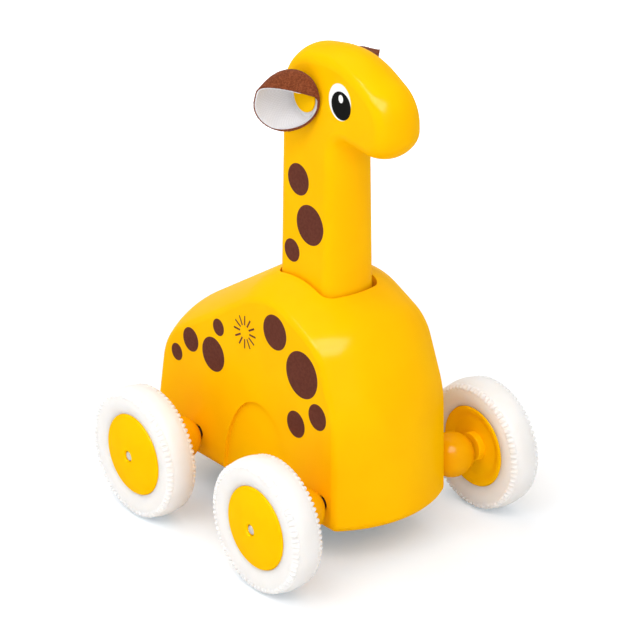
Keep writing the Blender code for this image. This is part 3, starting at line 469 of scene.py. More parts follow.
def dash_ring(paint):
    """Mask of a ring of short dashes that point away from its centre."""
    offset = paint.vector("SUBTRACT", paint.place, (DASH_CENTRE[0] + SHIFT, 0, DASH_CENTRE[1]))
    offset = paint.vector("MULTIPLY", offset, (1, 0, 1))
    reach = paint.vector("LENGTH", offset)
    node = paint.add("ShaderNodeSeparateXYZ")
    paint.feed(node.inputs[0], offset)
    angle = paint.maths("ARCTAN2", node.outputs["Z"], node.outputs["X"])
    turn = paint.maths("PINGPONG", angle, math.pi / DASHES)
    aside = paint.maths("MULTIPLY", reach, paint.maths("SINE", turn))
    mask = paint.step(aside, DASH_HALF + PRINT_SOFT, DASH_HALF - PRINT_SOFT)
    mask = paint.maths("MULTIPLY", mask, paint.step(reach, DASH_FROM - PRINT_SOFT, DASH_FROM + PRINT_SOFT))
    return paint.maths("MULTIPLY", mask, paint.step(reach, DASH_TO + PRINT_SOFT, DASH_TO - PRINT_SOFT))


def brown_ink(paint):
    return paint.mix(paint.step(paint.noise(0.0009), 0.35, 0.65), PRINT_BROWN, PRINT_BROWN_DEEP)


def body_paint():
    paint, base = lacquer("lacquer_body")
    mask = paint.maths("MAXIMUM", printed(paint, BODY_SPOTS), dash_ring(paint))
    side = paint.maths("ABSOLUTE", paint.coordinates()["Y"])
    edge = FLANK_HALF - PRINT_REACH
    mask = paint.maths("MULTIPLY", mask, paint.step(side, edge - PRINT_FADE, edge))
    paint.colour(paint.mix(mask, base, brown_ink(paint)))
    return paint.material


def neck_paint():
    paint, base = lacquer("lacquer_neck")
    colour = paint.mix(printed(paint, NECK_SPOTS), base, brown_ink(paint))
    for (x, z, across, up), tone in ((EYE_WHITE, WHITE), (EYE_PUPIL, PUPIL), (EYE_GLINT, WHITE)):
        colour = paint.mix(paint.ellipse(x + SHIFT, z, across, up), colour, tone)
    paint.colour(colour)
    return paint.material


MATERIALS = {
    "body": body_paint(),
    "neck": neck_paint(),
    "yellow": plastic_yellow("moulded_yellow", PLASTIC, PLASTIC_DEEP, 0.03),
    "ball": plastic_yellow("gloss_yellow", BALL, BALL_DEEP, 0.085),
    "rubber": rubber(),
    "felt": felt(),
    "weave": weave(),
    "steel": steel("drawn_steel"),
    "axle": steel("axle_steel", SHAFT_SHADE),
    "black": moulded("moulded_black", BLACK, BLACK_DEEP, 0.38, 0.55),
    "nylon": moulded("moulded_white", NYLON, NYLON_DEEP, 0.34, 0.48),
}


# Meshes

def piece(name, bm, finish, location=(0, 0, 0)):
    """Object made of a finished bmesh, at a place in the row frame."""
    bmesh.ops.recalc_face_normals(bm, faces=bm.faces)
    mesh = bpy.data.meshes.new(name)
    bm.to_mesh(mesh)
    bm.free()
    mesh.shade_smooth()
    mesh.set_sharp_from_angle(angle=SHARP)
    mesh.materials.append(MATERIALS[finish])
    made = bpy.data.objects.new(name, mesh)
    made.location = location
    bpy.context.collection.objects.link(made)
    return made


def settle(made, body, slot, *nodes):
    """Hangs the piece on the body that it rides on and hides the nodes that it stands for; its finish is
    not used.
    """
    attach(made, body)
    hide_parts(*nodes)


def cut(target, *tools):
    """Takes the tools out of the target and deletes them."""
    for tool in tools:
        step = target.modifiers.new(tool.name, "BOOLEAN")
        step.operation = "DIFFERENCE"
        step.solver = "EXACT"
        step.object = tool
    bpy.context.view_layer.update()
    graph = bpy.context.evaluated_depsgraph_get()
    mesh = bpy.data.meshes.new_from_object(target.evaluated_get(graph))
    target.modifiers.clear()
    target.data = mesh
    mesh.shade_smooth()
    mesh.set_sharp_from_angle(angle=SHARP)
    for tool in tools:
        bpy.data.objects.remove(tool)


def weighted(target):
    step = target.modifiers.new("weighted", "WEIGHTED_NORMAL")
    step.keep_sharp = True


def rounded_path(corners):
    """Points and outward normals along a path of (x, z, radius) corners, outside on its left."""
    path = []
    last = len(corners) - 1
    for index, (x, z, radius) in enumerate(corners):
        corner = Vector((x, z))
        if index in (0, last):
            other = Vector(corners[1 if index == 0 else last - 1][:2])
            way = (other - corner if index == 0 else corner - other).normalized()
            path.append((corner, Vector((-way.y, way.x))))
            continue
        into = (corner - Vector(corners[index - 1][:2])).normalized()
        out = (Vector(corners[index + 1][:2]) - corner).normalized()
        turn = math.atan2(into.x * out.y - into.y * out.x, into.dot(out))
        side = math.copysign(1, turn)
        start = corner - into * radius * math.tan(abs(turn) / 2)
        centre = start + Vector((-into.y, into.x)) * side * radius
        steps = max(4, math.ceil(abs(turn) / ARC_STEP))
        heading = math.atan2(into.y, into.x)
        for step in range(steps + 1):
            angle = heading + turn * step / steps
            normal = Vector((-math.sin(angle), math.cos(angle)))
            path.append((centre - normal * side * radius, normal))
    return path


def crown_section(half_width, crown, edge, steps=24, bends=6):
    """Rim from flank to flank as (y, rise): an arc whose ends are rounded into flat flanks."""
    radius = (half_width ** 2 + crown ** 2) / (2 * crown)
    edge_y = half_width - edge
    join = math.asin(edge_y / (radius - edge))
    edge_rise = crown - radius + math.sqrt((radius - edge) ** 2 - edge_y ** 2)
    arc = [join * (2 * k / steps - 1) for k in range(steps + 1)]
    section = [(radius * math.sin(a), crown - radius + radius * math.cos(a)) for a in arc]
    for k in range(1, bends + 1):
        bend = join + (math.pi / 2 - join) * k / bends
        y = edge_y + edge * math.sin(bend)
        rise = edge_rise + edge * math.cos(bend)
        section.append((y, rise))
        section.insert(0, (-y, rise))
    return section


def crowned_plate(corners, half_width, crown, edge, bottom):
    """Flat-sided block: a side outline whose rim is crowned all round, cut level at the bottom."""
    bm = bmesh.new()
    path = rounded_path(corners)
    rows = []
    for y, rise in crown_section(half_width, crown, edge):
        spots = [point + normal * rise for point, normal in path]
        rows.append([bm.verts.new((spot.x + SHIFT, y, spot.y)) for spot in spots])
    for row, after in zip(rows, rows[1:]):
        for i in range(len(row) - 1):
            bm.faces.new((row[i], row[i + 1], after[i + 1], after[i]))
    bm.faces.new(rows[0])
    bm.faces.new(rows[-1])
    bm.faces.new([row[0] for row in rows] + [row[-1] for row in reversed(rows)])
    everything = bm.verts[:] + bm.edges[:] + bm.faces[:]
    bmesh.ops.bisect_plane(bm, geom=everything, plane_co=(0, 0, bottom), plane_no=(0, 0, -1),
                           clear_outer=True)
    bmesh.ops.holes_fill(bm, edges=[edge for edge in bm.edges if edge.is_boundary])
    return bm


def turned(profile, steps, ring=False, axis=(0, 1, 0)):
    """Solid of revolution of (radius, along) points, closed on itself when it is a ring."""
    bm = bmesh.new()
    along = Vector(axis)
    verts = [bm.verts.new(Vector((radius, 0, 0)) + along * place) for radius, place in profile]
    pairs = list(zip(verts, verts[1:])) + ([(verts[-1], verts[0])] if ring else [])
    edges = [bm.edges.new(pair) for pair in pairs]
    bmesh.ops.spin(bm, geom=verts + edges, axis=along, cent=(0, 0, 0), angle=math.tau, steps=steps,
                   use_merge=True)
    bmesh.ops.remove_doubles(bm, verts=bm.verts, dist=1e-7)
    return bm


def prism(outline, shift):
    """Outline of 3-D points, extruded by a shift."""
    bm = bmesh.new()
    face = bm.faces.new([bm.verts.new(point) for point in outline])
    top = bmesh.ops.extrude_face_region(bm, geom=[face])["geom"]
    moved = [item for item in top if isinstance(item, bmesh.types.BMVert)]
    bmesh.ops.translate(bm, verts=moved, vec=shift)
    return bm


def rod(radius, start, end, axis=(0, 1, 0), steps=48):
    """Round cutter between two distances along an axis."""
    return turned([(0, start), (radius, start), (radius, end), (0, end)], steps, axis=axis)


def fillet(corner, start, end, steps=5):
    """Rounded corner of a profile, from one (radius, along) point to another."""
    first, mid, last = (Vector(point) for point in (start, corner, end))
    points = []
    for k in range(steps + 1):
        t = k / steps
        points.append(tuple(first * (1 - t) ** 2 + mid * 2 * t * (1 - t) + last * t ** 2))
    return points


# Body and neck

def slot_outline(height):
    """Plan of the slot that the neck slides in."""
    rim = crown_section(NECK_HALF + NECK_SIDE_PLAY, NECK_CROWN, NECK_EDGE + NECK_SIDE_PLAY)
    front = NECK_AXIS_X + SHIFT + NECK_FLAT_HALF + NECK_PLAY
    rear = NECK_AXIS_X + SHIFT - NECK_FLAT_HALF - NECK_REAR_PLAY
    outline = [(front + rise, y + SLOT_SHIFT, height) for y, rise in rim]
    return outline + [(rear - rise, y + SLOT_SHIFT, height) for y, rise in reversed(rim)]


def round_slot(body):
    """Rounds the rim where the slot opens through the top."""
    mesh = body.data
    bm = bmesh.new()
    bm.from_mesh(mesh)
    weight = bm.edges.layers.float.new("bevel_weight_edge")
    inside = NECK_LENGTH / 2 + 2 * NECK_PLAY
    for edge in bm.edges:
        if len(edge.link_faces) != 2 or edge.calc_face_angle() < SHARP:
            continue
        ups = sorted(face.normal.z for face in edge.link_faces)
        spot = (edge.verts[0].co + edge.verts[1].co) / 2
        over_slot = abs(spot.x - SHIFT - NECK_AXIS_X) < inside and spot.z > POCKET_ROOF + SLOT_RIM_ABOVE
        if over_slot and ups[1] > SLOT_RIM_FACING:
            edge[weight] = 1.0
    bm.to_mesh(mesh)
    bm.free()
    step = body.modifiers.new("slot_rim", "BEVEL")
    step.limit_method = "WEIGHT"
    step.width = SLOT_ROUND
    step.segments = 3
    step.use_clamp_overlap = True
    step.harden_normals = False


def body_half(height):
    """Half width of the body block at a height."""
    return FLANK_HALF - BODY_DRAFT * (height - BODY_BOTTOM)


def rebate_outline(height):
    """Plan of the seat for the base plate: a rectangle with round corners."""
    low, high = (Vector(corner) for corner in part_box("base_plate"))
    x0, x1 = low.x - SEAT_GAP, high.x + SEAT_GAP
    half = high.y + SEAT_GAP
    outline = []
    for x, y, quarter in ((x1, half, 0), (x0, half, 1), (x0, -half, 2), (x1, -half, 3)):
        cx = x - math.copysign(REBATE_CORNER, x - (x0 + x1) / 2)
        cy = y - math.copysign(REBATE_CORNER, y)
        for step in range(CORNER_STEPS + 1):
            angle = math.pi / 2 * (quarter + step / CORNER_STEPS)
            spot = (cx + REBATE_CORNER * math.cos(angle), cy + REBATE_CORNER * math.sin(angle))
            outline.append((*spot, height))
    return outline


def arch_room(sign, low):
    """What is cut away for the shallow arch on one flank."""
    arch = [(ARCH_HALF, low), (-ARCH_HALF, low)]
    for step in range(ARCH_STEPS + 1):
        angle = math.pi * (1 - step / ARCH_STEPS)
        rise = (ARCH_HEIGHT - BODY_BOTTOM) * math.sin(angle)
        arch.append((ARCH_HALF * math.cos(angle), BODY_BOTTOM + rise))
    face = sign * (FLANK_HALF - ARCH_DEPTH)
    room = prism([(x + SHIFT, face, z) for x, z in arch], (0, sign * (ARCH_DEPTH + CUT_PAST), 0))
    for vert in room.verts:
        vert.co.y -= sign * (FLANK_HALF - body_half(vert.co.z))
    return room


def screw_bore(node, start, finish):
    """Cutter for a screw's bore, from a distance above its lower end to just past its tip."""
    low, high = (Vector(corner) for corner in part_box(node))
    place = (low + high) / 2
    tool = rod(SCREW_BORE, start, high.z - low.z + SEAT_GAP, (0, 0, 1), BORE_SIDES)
    return piece(node + "_bore", tool, finish, (place.x, place.y, low.z))


def make_body():
    run = CUT_PAST + BODY_CROWN
    corners = [(REAR_FOOT_X - run * math.tan(REAR_LEAN), BODY_BOTTOM - run, 0), *BODY_BENDS,
               (FRONT_FOOT_X, BODY_BOTTOM - run, 0)]
    bm = crowned_plate(corners, FLANK_HALF, BODY_CROWN, BODY_EDGE, BODY_BOTTOM)
    bmesh.ops.recalc_face_normals(bm, faces=bm.faces)
    rim = [edge for edge in bm.edges if all(vert.co.z < BODY_BOTTOM + 1e-6 for vert in edge.verts)]
    bmesh.ops.bevel(bm, geom=rim, offset=BOTTOM_EDGE, segments=BOTTOM_STEPS, profile=0.5, affect="EDGES")
    for vert in bm.verts:
        vert.co.y *= body_half(vert.co.z) / FLANK_HALF
    body = piece("body_block", bm, "body")
    under = BODY_BOTTOM - CUT_PAST
    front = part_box("plunger_rack")[1][0] + POCKET_ROOM
    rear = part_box("drive_gear")[0][0] - POCKET_ROOM
    step = POCKET_STEP + SHIFT
    pocket = [(rear, under), (rear, GEAR_ROOF), (step, GEAR_ROOF), (step, POCKET_ROOF),
              (front, POCKET_ROOF), (front, under)]
    slot_rise = BODY_TOP - POCKET_ROOF + 3 * CUT_PAST
    tools = [
        prism([(x, -POCKET_HALF, z) for x, z in pocket], (0, 2 * POCKET_HALF, 0)),
        prism(slot_outline(POCKET_ROOF - CUT_PAST), (0, 0, slot_rise)),
        prism(rebate_outline(under), (0, 0, PLATE_TOP + SEAT_GAP - under)),
    ]
    tools += [arch_room(sign, under) for sign in SIDES.values()]
    made = [piece(f"body_cut_{number}", tool, "body") for number, tool in enumerate(tools)]
    for end in ENDS:
        place = middle(end + "_axle")
        made.append(piece(end + "_bore", rod(AXLE_BORE, -FLANK_HALF, FLANK_HALF), "body", place))
        for sign in SIDES.values():
            tool = rod(BUSH_BORE, sign * (BUSH_INNER - SEAT_GAP), sign * BUSH_OUTER)
            made.append(piece(end + "_bush_bore", tool, "body", place))
            tool = rod(FLANK_HOLE, sign * BUSH_INNER, sign * (FLANK_HALF + CUT_PAST))
            made.append(piece(end + "_flank_hole", tool, "body", place))
    made += [screw_bore(node, -CUT_PAST, "body") for node in BASE_SCREWS]
    cut(body, *made)
    round_slot(body)
    weighted(body)
    settle(body, "base", "lacquered_wood", "body")


def head_half(height):
    """Half thickness of the neck and head at a height."""
    return NECK_HALF - NECK_DRAFT * (height - POCKET_ROOF)


PLUG_HEIGHT = JAW_HEIGHT + PLUG_RISE
EAR_WALL = head_half(JAW_HEIGHT + EAR_BASE_RISE) + SEAT_GAP
PLUG_FACE = head_half(PLUG_HEIGHT) + SEAT_GAP + EAR_FELT + SEAT_GAP
PLUG_PLACE = (NECK_AXIS_X + PLUG_REACH + SHIFT, 0, PLUG_HEIGHT)


def make_neck():
    low = POCKET_ROOF - CUT_PAST
    bends = [(NECK_AXIS_X + reach, JAW_HEIGHT + rise, radius) for reach, rise, radius in HEAD_BENDS]
    corners = [(NECK_AXIS_X - NECK_FLAT_HALF, low, 0), *bends, (NECK_AXIS_X + NECK_FLAT_HALF, low, 0)]
    bm = crowned_plate(corners, NECK_HALF, NECK_CROWN, NECK_EDGE, POCKET_ROOF)
    for vert in bm.verts:
        vert.co.y *= head_half(vert.co.z) / NECK_HALF
    neck = piece("neck_and_head", bm, "neck")
    made = []
    for sign in SIDES.values():
        tool = rod(PLUG_SHANK_RADIUS + SEAT_GAP, sign * (PLUG_FACE - PLUG_SHANK - SEAT_GAP),
                   sign * (PLUG_FACE + CUT_PAST))
        made.append(piece("plug_bore", tool, "neck", PLUG_PLACE))
    made += [screw_bore(node, 0, "neck") for node in NECK_SCREWS]
    cut(neck, *made)
    weighted(neck)
    settle(neck, "neck", "lacquered_wood", "neck_head")


# Ears

noise.seed_set(EAR_SEED)


def ear_point(share, angle, inset, side):
    """Point of the felt cup at a share of the way from base to mouth, inset from its outside."""
    flat = Vector((math.cos(angle), 0, math.sin(angle)))
    base = Vector((EAR_BASE_REACH, EAR_WALL + inset, JAW_HEIGHT + EAR_BASE_RISE))
    base += flat * (EAR_BASE_RADIUS - inset)
    level = Vector((math.cos(EAR_YAW), -math.sin(EAR_YAW), 0))
    steep = Vector((math.sin(EAR_YAW) * math.sin(EAR_PITCH), math.cos(EAR_YAW) * math.sin(EAR_PITCH),
                    math.cos(EAR_PITCH)))
    across = level * math.cos(EAR_ROLL) + steep * math.sin(EAR_ROLL)
    upward = steep * math.cos(EAR_ROLL) - level * math.sin(EAR_ROLL)
    roof = max(math.sin(angle), 0.0) ** EAR_ROOF_POWER[side] * EAR_MOUTH_ROOF
    rise = roof + min(math.sin(angle), 0.0)
    mouth = Vector((EAR_MOUTH[0], EAR_WALL + EAR_MOUTH[1], JAW_HEIGHT + EAR_MOUTH[2]))
    mouth += (across * math.cos(angle) + upward * rise) * (EAR_MOUTH_RADIUS - inset)
    full = EAR_BULGE * (EAR_LOW_BULGE + (1 - EAR_LOW_BULGE) * (1 + math.sin(angle)) / 2)
    bulge = EAR_FRONT_BULGE if math.cos(angle) > 0 else EAR_REAR_BULGE
    full *= 1 + (bulge - 1) * abs(math.cos(angle))
    spot = base.lerp(mouth, share) + flat * full * math.sin(math.pi * share)
    lift = EAR_LIFT[side] * max(spot.y - EAR_WALL - inset, 0.0)
    lift -= EAR_DROOP[side] * max(math.sin(angle), 0.0) * share ** 6
    return Vector((spot.x + NECK_AXIS_X + SHIFT, SIDES[side] * spot.y, spot.z + lift))


def ear_reach(angle, layer):
    """How much of a layer's wall is there: both are cut low in front, next to the face."""
    forward = max(math.cos(angle - EAR_TRIM_AT[layer]), 0.0)
    return 1 - EAR_TRIM[layer] * forward ** EAR_TRIM_POWER[layer]


def ear_shell(side, layer, outside, inside):
    """One layer of the ear: a cup between two insets, open at its mouth."""
    shares = [1 - k / EAR_RISE_STEPS for k in range(EAR_RISE_STEPS + 1)]
    bm = bmesh.new()
    cloth = bm.loops.layers.uv.new("cloth")
    rows = []
    for inset, order in ((outside, shares[::-1]), (inside, shares)):
        for share in order:
            row = []
            rough = EAR_ROUGH[layer] * min(1.0, share / EAR_SMOOTH_FOOT)
            for k in range(EAR_SIDES):
                angle = math.tau * k / EAR_SIDES
                spot = ear_point(share * ear_reach(angle, layer), angle, inset, side)
                row.append(bm.verts.new(spot + noise.noise_vector(spot * EAR_WAVES) * rough))
            rows.append((share, row))
    girth = math.tau * (EAR_BASE_RADIUS + EAR_MOUTH_RADIUS) / 2
    for (share, row), (next_share, after) in zip(rows, rows[1:]):
        for k in range(EAR_SIDES):
            n = (k + 1) % EAR_SIDES
            face = bm.faces.new((row[k], row[n], after[n], after[k]))
            places = ((k, share), (k + 1, share), (k + 1, next_share), (k, next_share))
            for loop, (step, height) in zip(face.loops, places):
                loop[cloth].uv = (girth * step / EAR_SIDES, EAR_MOUTH[1] * height)
    for row in (rows[0][1], rows[-1][1]):
        for loop in bm.faces.new(row).loops:
            loop[cloth].uv = (loop.vert.co.x, loop.vert.co.z)
    return bm


def add_fibres(bm, side):
    """Short loose fibres that stand out of the felt, thickest along its cut edge."""
    dice = random.Random(side)
    for number in range(EAR_FIBRES):
        angle = dice.uniform(0, math.tau)
        share = 1.0 if number % EDGE_FIBRES == 0 else dice.uniform(FIBRE_FROM, 1.0)
        share *= ear_reach(angle, "felt")
        root = ear_point(share, angle, FIBRE_ROOT, side)
        out = (ear_point(share, angle, -FIBRE_PROBE, side) - root).normalized()
        lean = Vector((dice.gauss(0, 1), dice.gauss(0, 1), dice.gauss(0, 1)))
        tip = root + (out + lean * FIBRE_LEAN).normalized() * dice.uniform(*FIBRE_LENGTH)
        aside = (tip - root).cross(lean).normalized() * FIBRE_HALF
        low = [bm.verts.new(root + shift) for shift in (aside, -aside, out * FIBRE_HALF)]
        high = bm.verts.new(tip)
        bm.faces.new(low)
        for first, second in zip(low, low[1:] + low[:1]):
            bm.faces.new((first, second, high))


def make_ear(side, sign):
    layers = {
        "felt": ear_shell(side, "felt", 0.0, EAR_FELT - LINING - LAYER_GAP),
        "lining": ear_shell(side, "lining", EAR_FELT - LINING, EAR_FELT),
    }
    for layer, bm in layers.items():
        made = piece(f"{side}_ear_{layer}", bm, "felt" if layer == "felt" else "weave")
        tool = rod(PLUG_SHANK_RADIUS + SEAT_GAP, sign * (EAR_WALL - CUT_PAST),
                   sign * (PLUG_FACE + SEAT_GAP))
        cut(made, piece("ear_bore", tool, "felt", PLUG_PLACE))
        if layer == "felt":
            bm = bmesh.new()
            bm.from_mesh(made.data)
            add_fibres(bm, side)
            bm.to_mesh(made.data)
            bm.free()
        settle(made, "neck", "brown_felt", side + "_ear")


def make_plug(side, sign):
    """Round-headed plug that holds an ear to the head."""
    tip = PLUG_FACE - PLUG_SHANK
    top = PLUG_FACE + PLUG_HEAD
    rim = PLUG_HEAD * PLUG_RIM
    edge = fillet((PLUG_HEAD_RADIUS, top - rim / 3), (PLUG_HEAD_RADIUS, top - rim),
                  (PLUG_HEAD_RADIUS - rim, top - rim / 4))
    profile = [(0, tip), (PLUG_SHANK_RADIUS * PLUG_TIP, tip), (PLUG_SHANK_RADIUS, tip + PLUG_CHAMFER),
               (PLUG_SHANK_RADIUS, PLUG_FACE), (PLUG_HEAD_RADIUS, PLUG_FACE), *edge,
               (PLUG_HEAD_RADIUS / 2, top), (0, top)]
    bm = turned([(r, sign * y) for r, y in profile], ROUND_SIDES)
    plug = piece(side + "_plug", bm, "yellow", PLUG_PLACE)
    settle(plug, "neck", "yellow_plastic", side + "_ear_plug")


# Wheels

def ramp(value, low, high):
    """Straight change from 0 to 1 as the value goes from low to high."""
    return min(1.0, max(0.0, (value - low) / (high - low)))


def tyre_profile():
    """Half of the tyre's section as (radius, y, rib): bead, sidewall, ribbed shoulder, half tread."""
    lip = HUB_RADIUS + TYRE_LIP_GAP
    bead = HUB_SEAT_RADIUS + SEAT_GAP
    seat = HUB_THICKNESS / 2 - HUB_RIM - SEAT_GAP
    points = [(bead, seat, 0.0), (lip, seat, 0.0), (lip, TYRE_LIP_HALF - TYRE_LIP_ROUND, 0.0)]
    mid = (lip + TYRE_RADIUS) / 2
    tall = (TYRE_RADIUS - lip) / 2
    for k in range(WALL_STEPS + 1):
        share = k / WALL_STEPS
        fall = (1 - share) ** 2
        y = TYRE_HALF - (TYRE_HALF - TYRE_LIP_HALF) * fall
        points.append((lip + (mid - lip) * share, y, 0.0))
    for k in range(1, TREAD_STEPS + 1):
        angle = math.pi / 2 * k / TREAD_STEPS
        rise = math.sin(angle) ** TYRE_POWER
        y = TYRE_HALF * math.cos(angle) ** TYRE_POWER if k < TREAD_STEPS else 0.0
        rib = ramp(math.degrees(angle), *RIB_RISE) * (1 - ramp(math.degrees(angle), *RIB_FALL))
        points.append((mid + tall * rise, y, rib))
    return points


def tyre_mesh():
    """Tyre whose shoulders carry a row of short ribs."""
    half = tyre_profile()
    section = half + [(r, -y, rib) for r, y, rib in half[-2::-1]]
    count = TYRE_RIBS * len(RIB_CREST)
    bm = bmesh.new()
    mid = (HUB_RADIUS + SEAT_GAP + TYRE_RADIUS) / 2
    loops = []
    for r, y, rib in section:
        out = Vector((r - mid, y * RIB_ASIDE)).normalized()
        loop = []
        for k in range(count):
            lift = RIB_HEIGHT * rib * RIB_CREST[k % len(RIB_CREST)]
            angle = math.tau * k / count
            reach = r + out.x * lift
            spot = (reach * math.cos(angle), y + out.y * lift, reach * math.sin(angle))
            loop.append(bm.verts.new(spot))
        loops.append(loop)
    for loop, after in zip(loops, loops[1:] + loops[:1]):
        for k in range(count):
            n = (k + 1) % count
            bm.faces.new((loop[k], loop[n], after[n], after[k]))
    return bm


def hub_profile():
    """Hub section: domed outer face with a round rim, tyre seat, boss on the inner face."""
    back = -HUB_THICKNESS / 2
    seat = HUB_THICKNESS / 2
    face = seat + HUB_LIFT
    boss = fillet((HUB_BOSS_RADIUS, back - HUB_BOSS), (HUB_BOSS_RADIUS - HUB_SOFT, back - HUB_BOSS),
                  (HUB_BOSS_RADIUS, back - HUB_BOSS + HUB_SOFT))
    inner = fillet((HUB_RADIUS, back), (HUB_RADIUS - HUB_RIM / 2, back),
                   (HUB_RADIUS, back + HUB_RIM / 2))
    slope = [(HUB_RADIUS - rims * HUB_RIM, back + HUB_WEB * depth) for rims, depth in HUB_SLOPE]
    outer = fillet((HUB_RADIUS, face), (HUB_RADIUS, face - HUB_ROUND), (HUB_RADIUS - HUB_ROUND, face))
    flat = HUB_RADIUS - HUB_ROUND
    shares = [1 - k / DOME_STEPS for k in range(1, DOME_STEPS)]
    dome = [(flat * s, face + HUB_DOME * (1 - s ** 2)) for s in shares if flat * s > HUB_BORE + HUB_SOFT]
    top = face + HUB_DOME * (1 - (HUB_BORE / flat) ** 2)
    mouth = fillet((HUB_BORE, top), (HUB_BORE + HUB_SOFT, top), (HUB_BORE, top - HUB_SOFT))
    return [
        (HUB_BORE, back - HUB_BOSS), *boss, (HUB_BOSS_RADIUS, back + HUB_WEB), *slope, *inner,
        (HUB_RADIUS, back + HUB_RIM), (HUB_SEAT_RADIUS, back + HUB_RIM),
        (HUB_SEAT_RADIUS, seat - HUB_RIM), (HUB_RADIUS, seat - HUB_RIM), *outer,
        *dome, *mouth,
    ]


def make_wheels():
    for end in ENDS:
        body = end + "_wheels"
        for side, sign in SIDES.items():
            tag = f"{end}_{side}"
            place = middle(tag + "_tyre")
            tyre = piece(tag + "_tyre_rubber", tyre_mesh(), "rubber", place)
            settle(tyre, body, "white_rubber", tag + "_tyre")
            hub = turned([(r, sign * y) for r, y in hub_profile()], HUB_SIDES, ring=True)
            hub = piece(tag + "_hub_disc", hub, "yellow", place)
            weighted(hub)
            settle(hub, body, "yellow_plastic", tag + "_hub")
            low, high = (Vector(corner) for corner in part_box(tag + "_ball"))
            radius = (high.x - low.x) / 2
            dip = math.asin(AXLE_BORE / radius)
            arc = [(math.pi - 2 * dip) * (k / BALL_STEPS - 0.5) for k in range(BALL_STEPS + 1)]
            profile = [(radius * math.cos(a), radius * math.sin(a)) for a in arc]
            ball = turned(profile, ROUND_SIDES, ring=True)
            ball = piece(tag + "_ball_bead", ball, "ball", (low + high) / 2)
            settle(ball, body, "yellow_plastic", tag + "_ball")


# Spring, screws and plain solids

def make_spring():
    """Finer copy of the return spring, which in the toy shortens as the neck goes down."""
    low, high = (Vector(corner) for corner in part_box("return_spring"))
    radius = (high.x - low.x) / 2 - SPRING_WIRE
    centre = (low + high) / 2
    start = low.z + SPRING_WIRE
    end = high.z - SPRING_WIRE
    count = SPRING_TURNS * SPRING_STEPS
    bm = bmesh.new()
    rings = []
    for k in range(count + 1):
        angle = math.tau * SPRING_TURNS * k / count
        out = Vector((math.cos(angle), math.sin(angle), 0))
        core = centre + out * radius
        core.z = start + (end - start) * k / count
        ring = []
        for n in range(WIRE_SIDES):
            turn = math.tau * n / WIRE_SIDES
            aside = out * math.cos(turn) + Vector((0, 0, math.sin(turn)))
            ring.append(bm.verts.new(core + aside * SPRING_WIRE))
        rings.append(ring)
    for ring, after in zip(rings, rings[1:]):
        for n in range(WIRE_SIDES):
            m = (n + 1) % WIRE_SIDES
            bm.faces.new((ring[n], ring[m], after[m], after[n]))
    bm.faces.new(rings[0])
    bm.faces.new(rings[-1])
    spring = piece("return_spring_coil", bm, "steel")
    settle(spring, "base", "steel", "return_spring")
    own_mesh(spring)


def make_screws():
    """Screws of the base plate and the gear frame, with cross recesses."""
    for node in BASE_SCREWS + FRAME_SCREWS:
        low, high = (Vector(corner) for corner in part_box(node))
        place = ((low.x + high.x) / 2, (low.y + high.y) / 2, low.z)
        head = (high.y - low.y) / 2
        length = high.z - low.z
        rim = fillet((head, 0), (head - SCREW_RIM, 0), (head, SCREW_RIM))
        profile = [(0, 0), *rim, (SCREW_RADIUS, SCREW_HEAD), (SCREW_RADIUS, length - SCREW_TIP),
                   (0, length)]
        bm = turned(profile, SCREW_SIDES, axis=(0, 0, 1))
        screw = piece(node + "_cross_head", bm, "steel", place)
        tools = []
        for across, along in ((CROSS_HALF, CROSS_REACH), (CROSS_REACH, CROSS_HALF)):
            corners = [(-across, -along), (across, -along), (across, along), (-across, along)]
            tool = prism([(x, y, -SCREW_RIM) for x, y in corners], (0, 0, SCREW_RIM + CROSS_DEPTH))
            tools.append(piece("cross_recess", tool, "steel", place))
        cut(screw, *tools)
        settle(screw, "base", "steel", node)


def dress_nodes():
    """Finishes for the solids that stay as they are."""
    finishes = {"steel": "steel", "black_plastic": "black", "white_nylon": "nylon",
                "yellow_plastic": "yellow", "white_rubber": "rubber", "brown_felt": "felt",
                "lacquered_wood": "body"}
    for row in frame["record"]["subparts"]:
        node = NODES[row["node"]]
        node.data.materials.clear()
        # axles take the steel with painted shade on the shaft
        finish = "axle" if row["node"].endswith("_axle") else finishes[row["material_slot"]]
        node.data.materials.append(MATERIALS[finish])


# Camera, floor and light

TARGET = Vector((0.001175 + SHIFT, 0.001454, 0.065475))
AZIMUTH = math.radians(51.055)
ELEVATION = math.radians(24.417)
DISTANCE = 0.950
LENS = 171.64
SENSOR = 36.0
FLOOR_HALF = 6.0
FLOOR_DROP = 0.0001                # floor below the tyres, so that the two don't share a plane
FLOOR_PALE = (0.79, 0.80, 0.815)
FLOOR_DEEP = (0.78, 0.79, 0.805)
FLOOR_CLOUD = 0.3
NEAR_GLOW = 0.20                   # floor's own light by the toy
FAR_GLOW = 0.60                    # and far from it
GLOW_FADE = (0.10, 0.45)           # distances from the toy's middle between the two
NEAR_TINT = (1.06, 1.36, 1.55)     # evens out the yellow light that the toy throws on the floor
NEAR_FADE = (0.045, 0.080)
UNDER_SHADOW_TINT = (0.63, 0.92, 1.10)    # painted shadow: the glow is dimmer right under the toy, and tinted the same way
UNDER_SHADOW_FADE = (0.028, 0.046)
AMBIENT = 0.60                     # light from all round
LAMP_AIM = Vector((0, 0, 0.07))
LAMPS = [                          # name, place, width, height, watts, seen in reflections only
    ("key", (0.49, -0.77, 1.22), 1.4, 0.6, 8.4, False),
    ("fill", (-0.40, -1.15, 0.40), 1.0, 1.0, 1.9, False),
    ("card", (0.49, -0.77, 1.22), 1.7, 0.7, 270.0, True),
    ("front", (1.12, -0.50, 0.60), 0.8, 0.8, 4.2, False),
    ("top", (-0.55, -0.20, 1.45), 1.3, 1.3, 8.2, False),
]


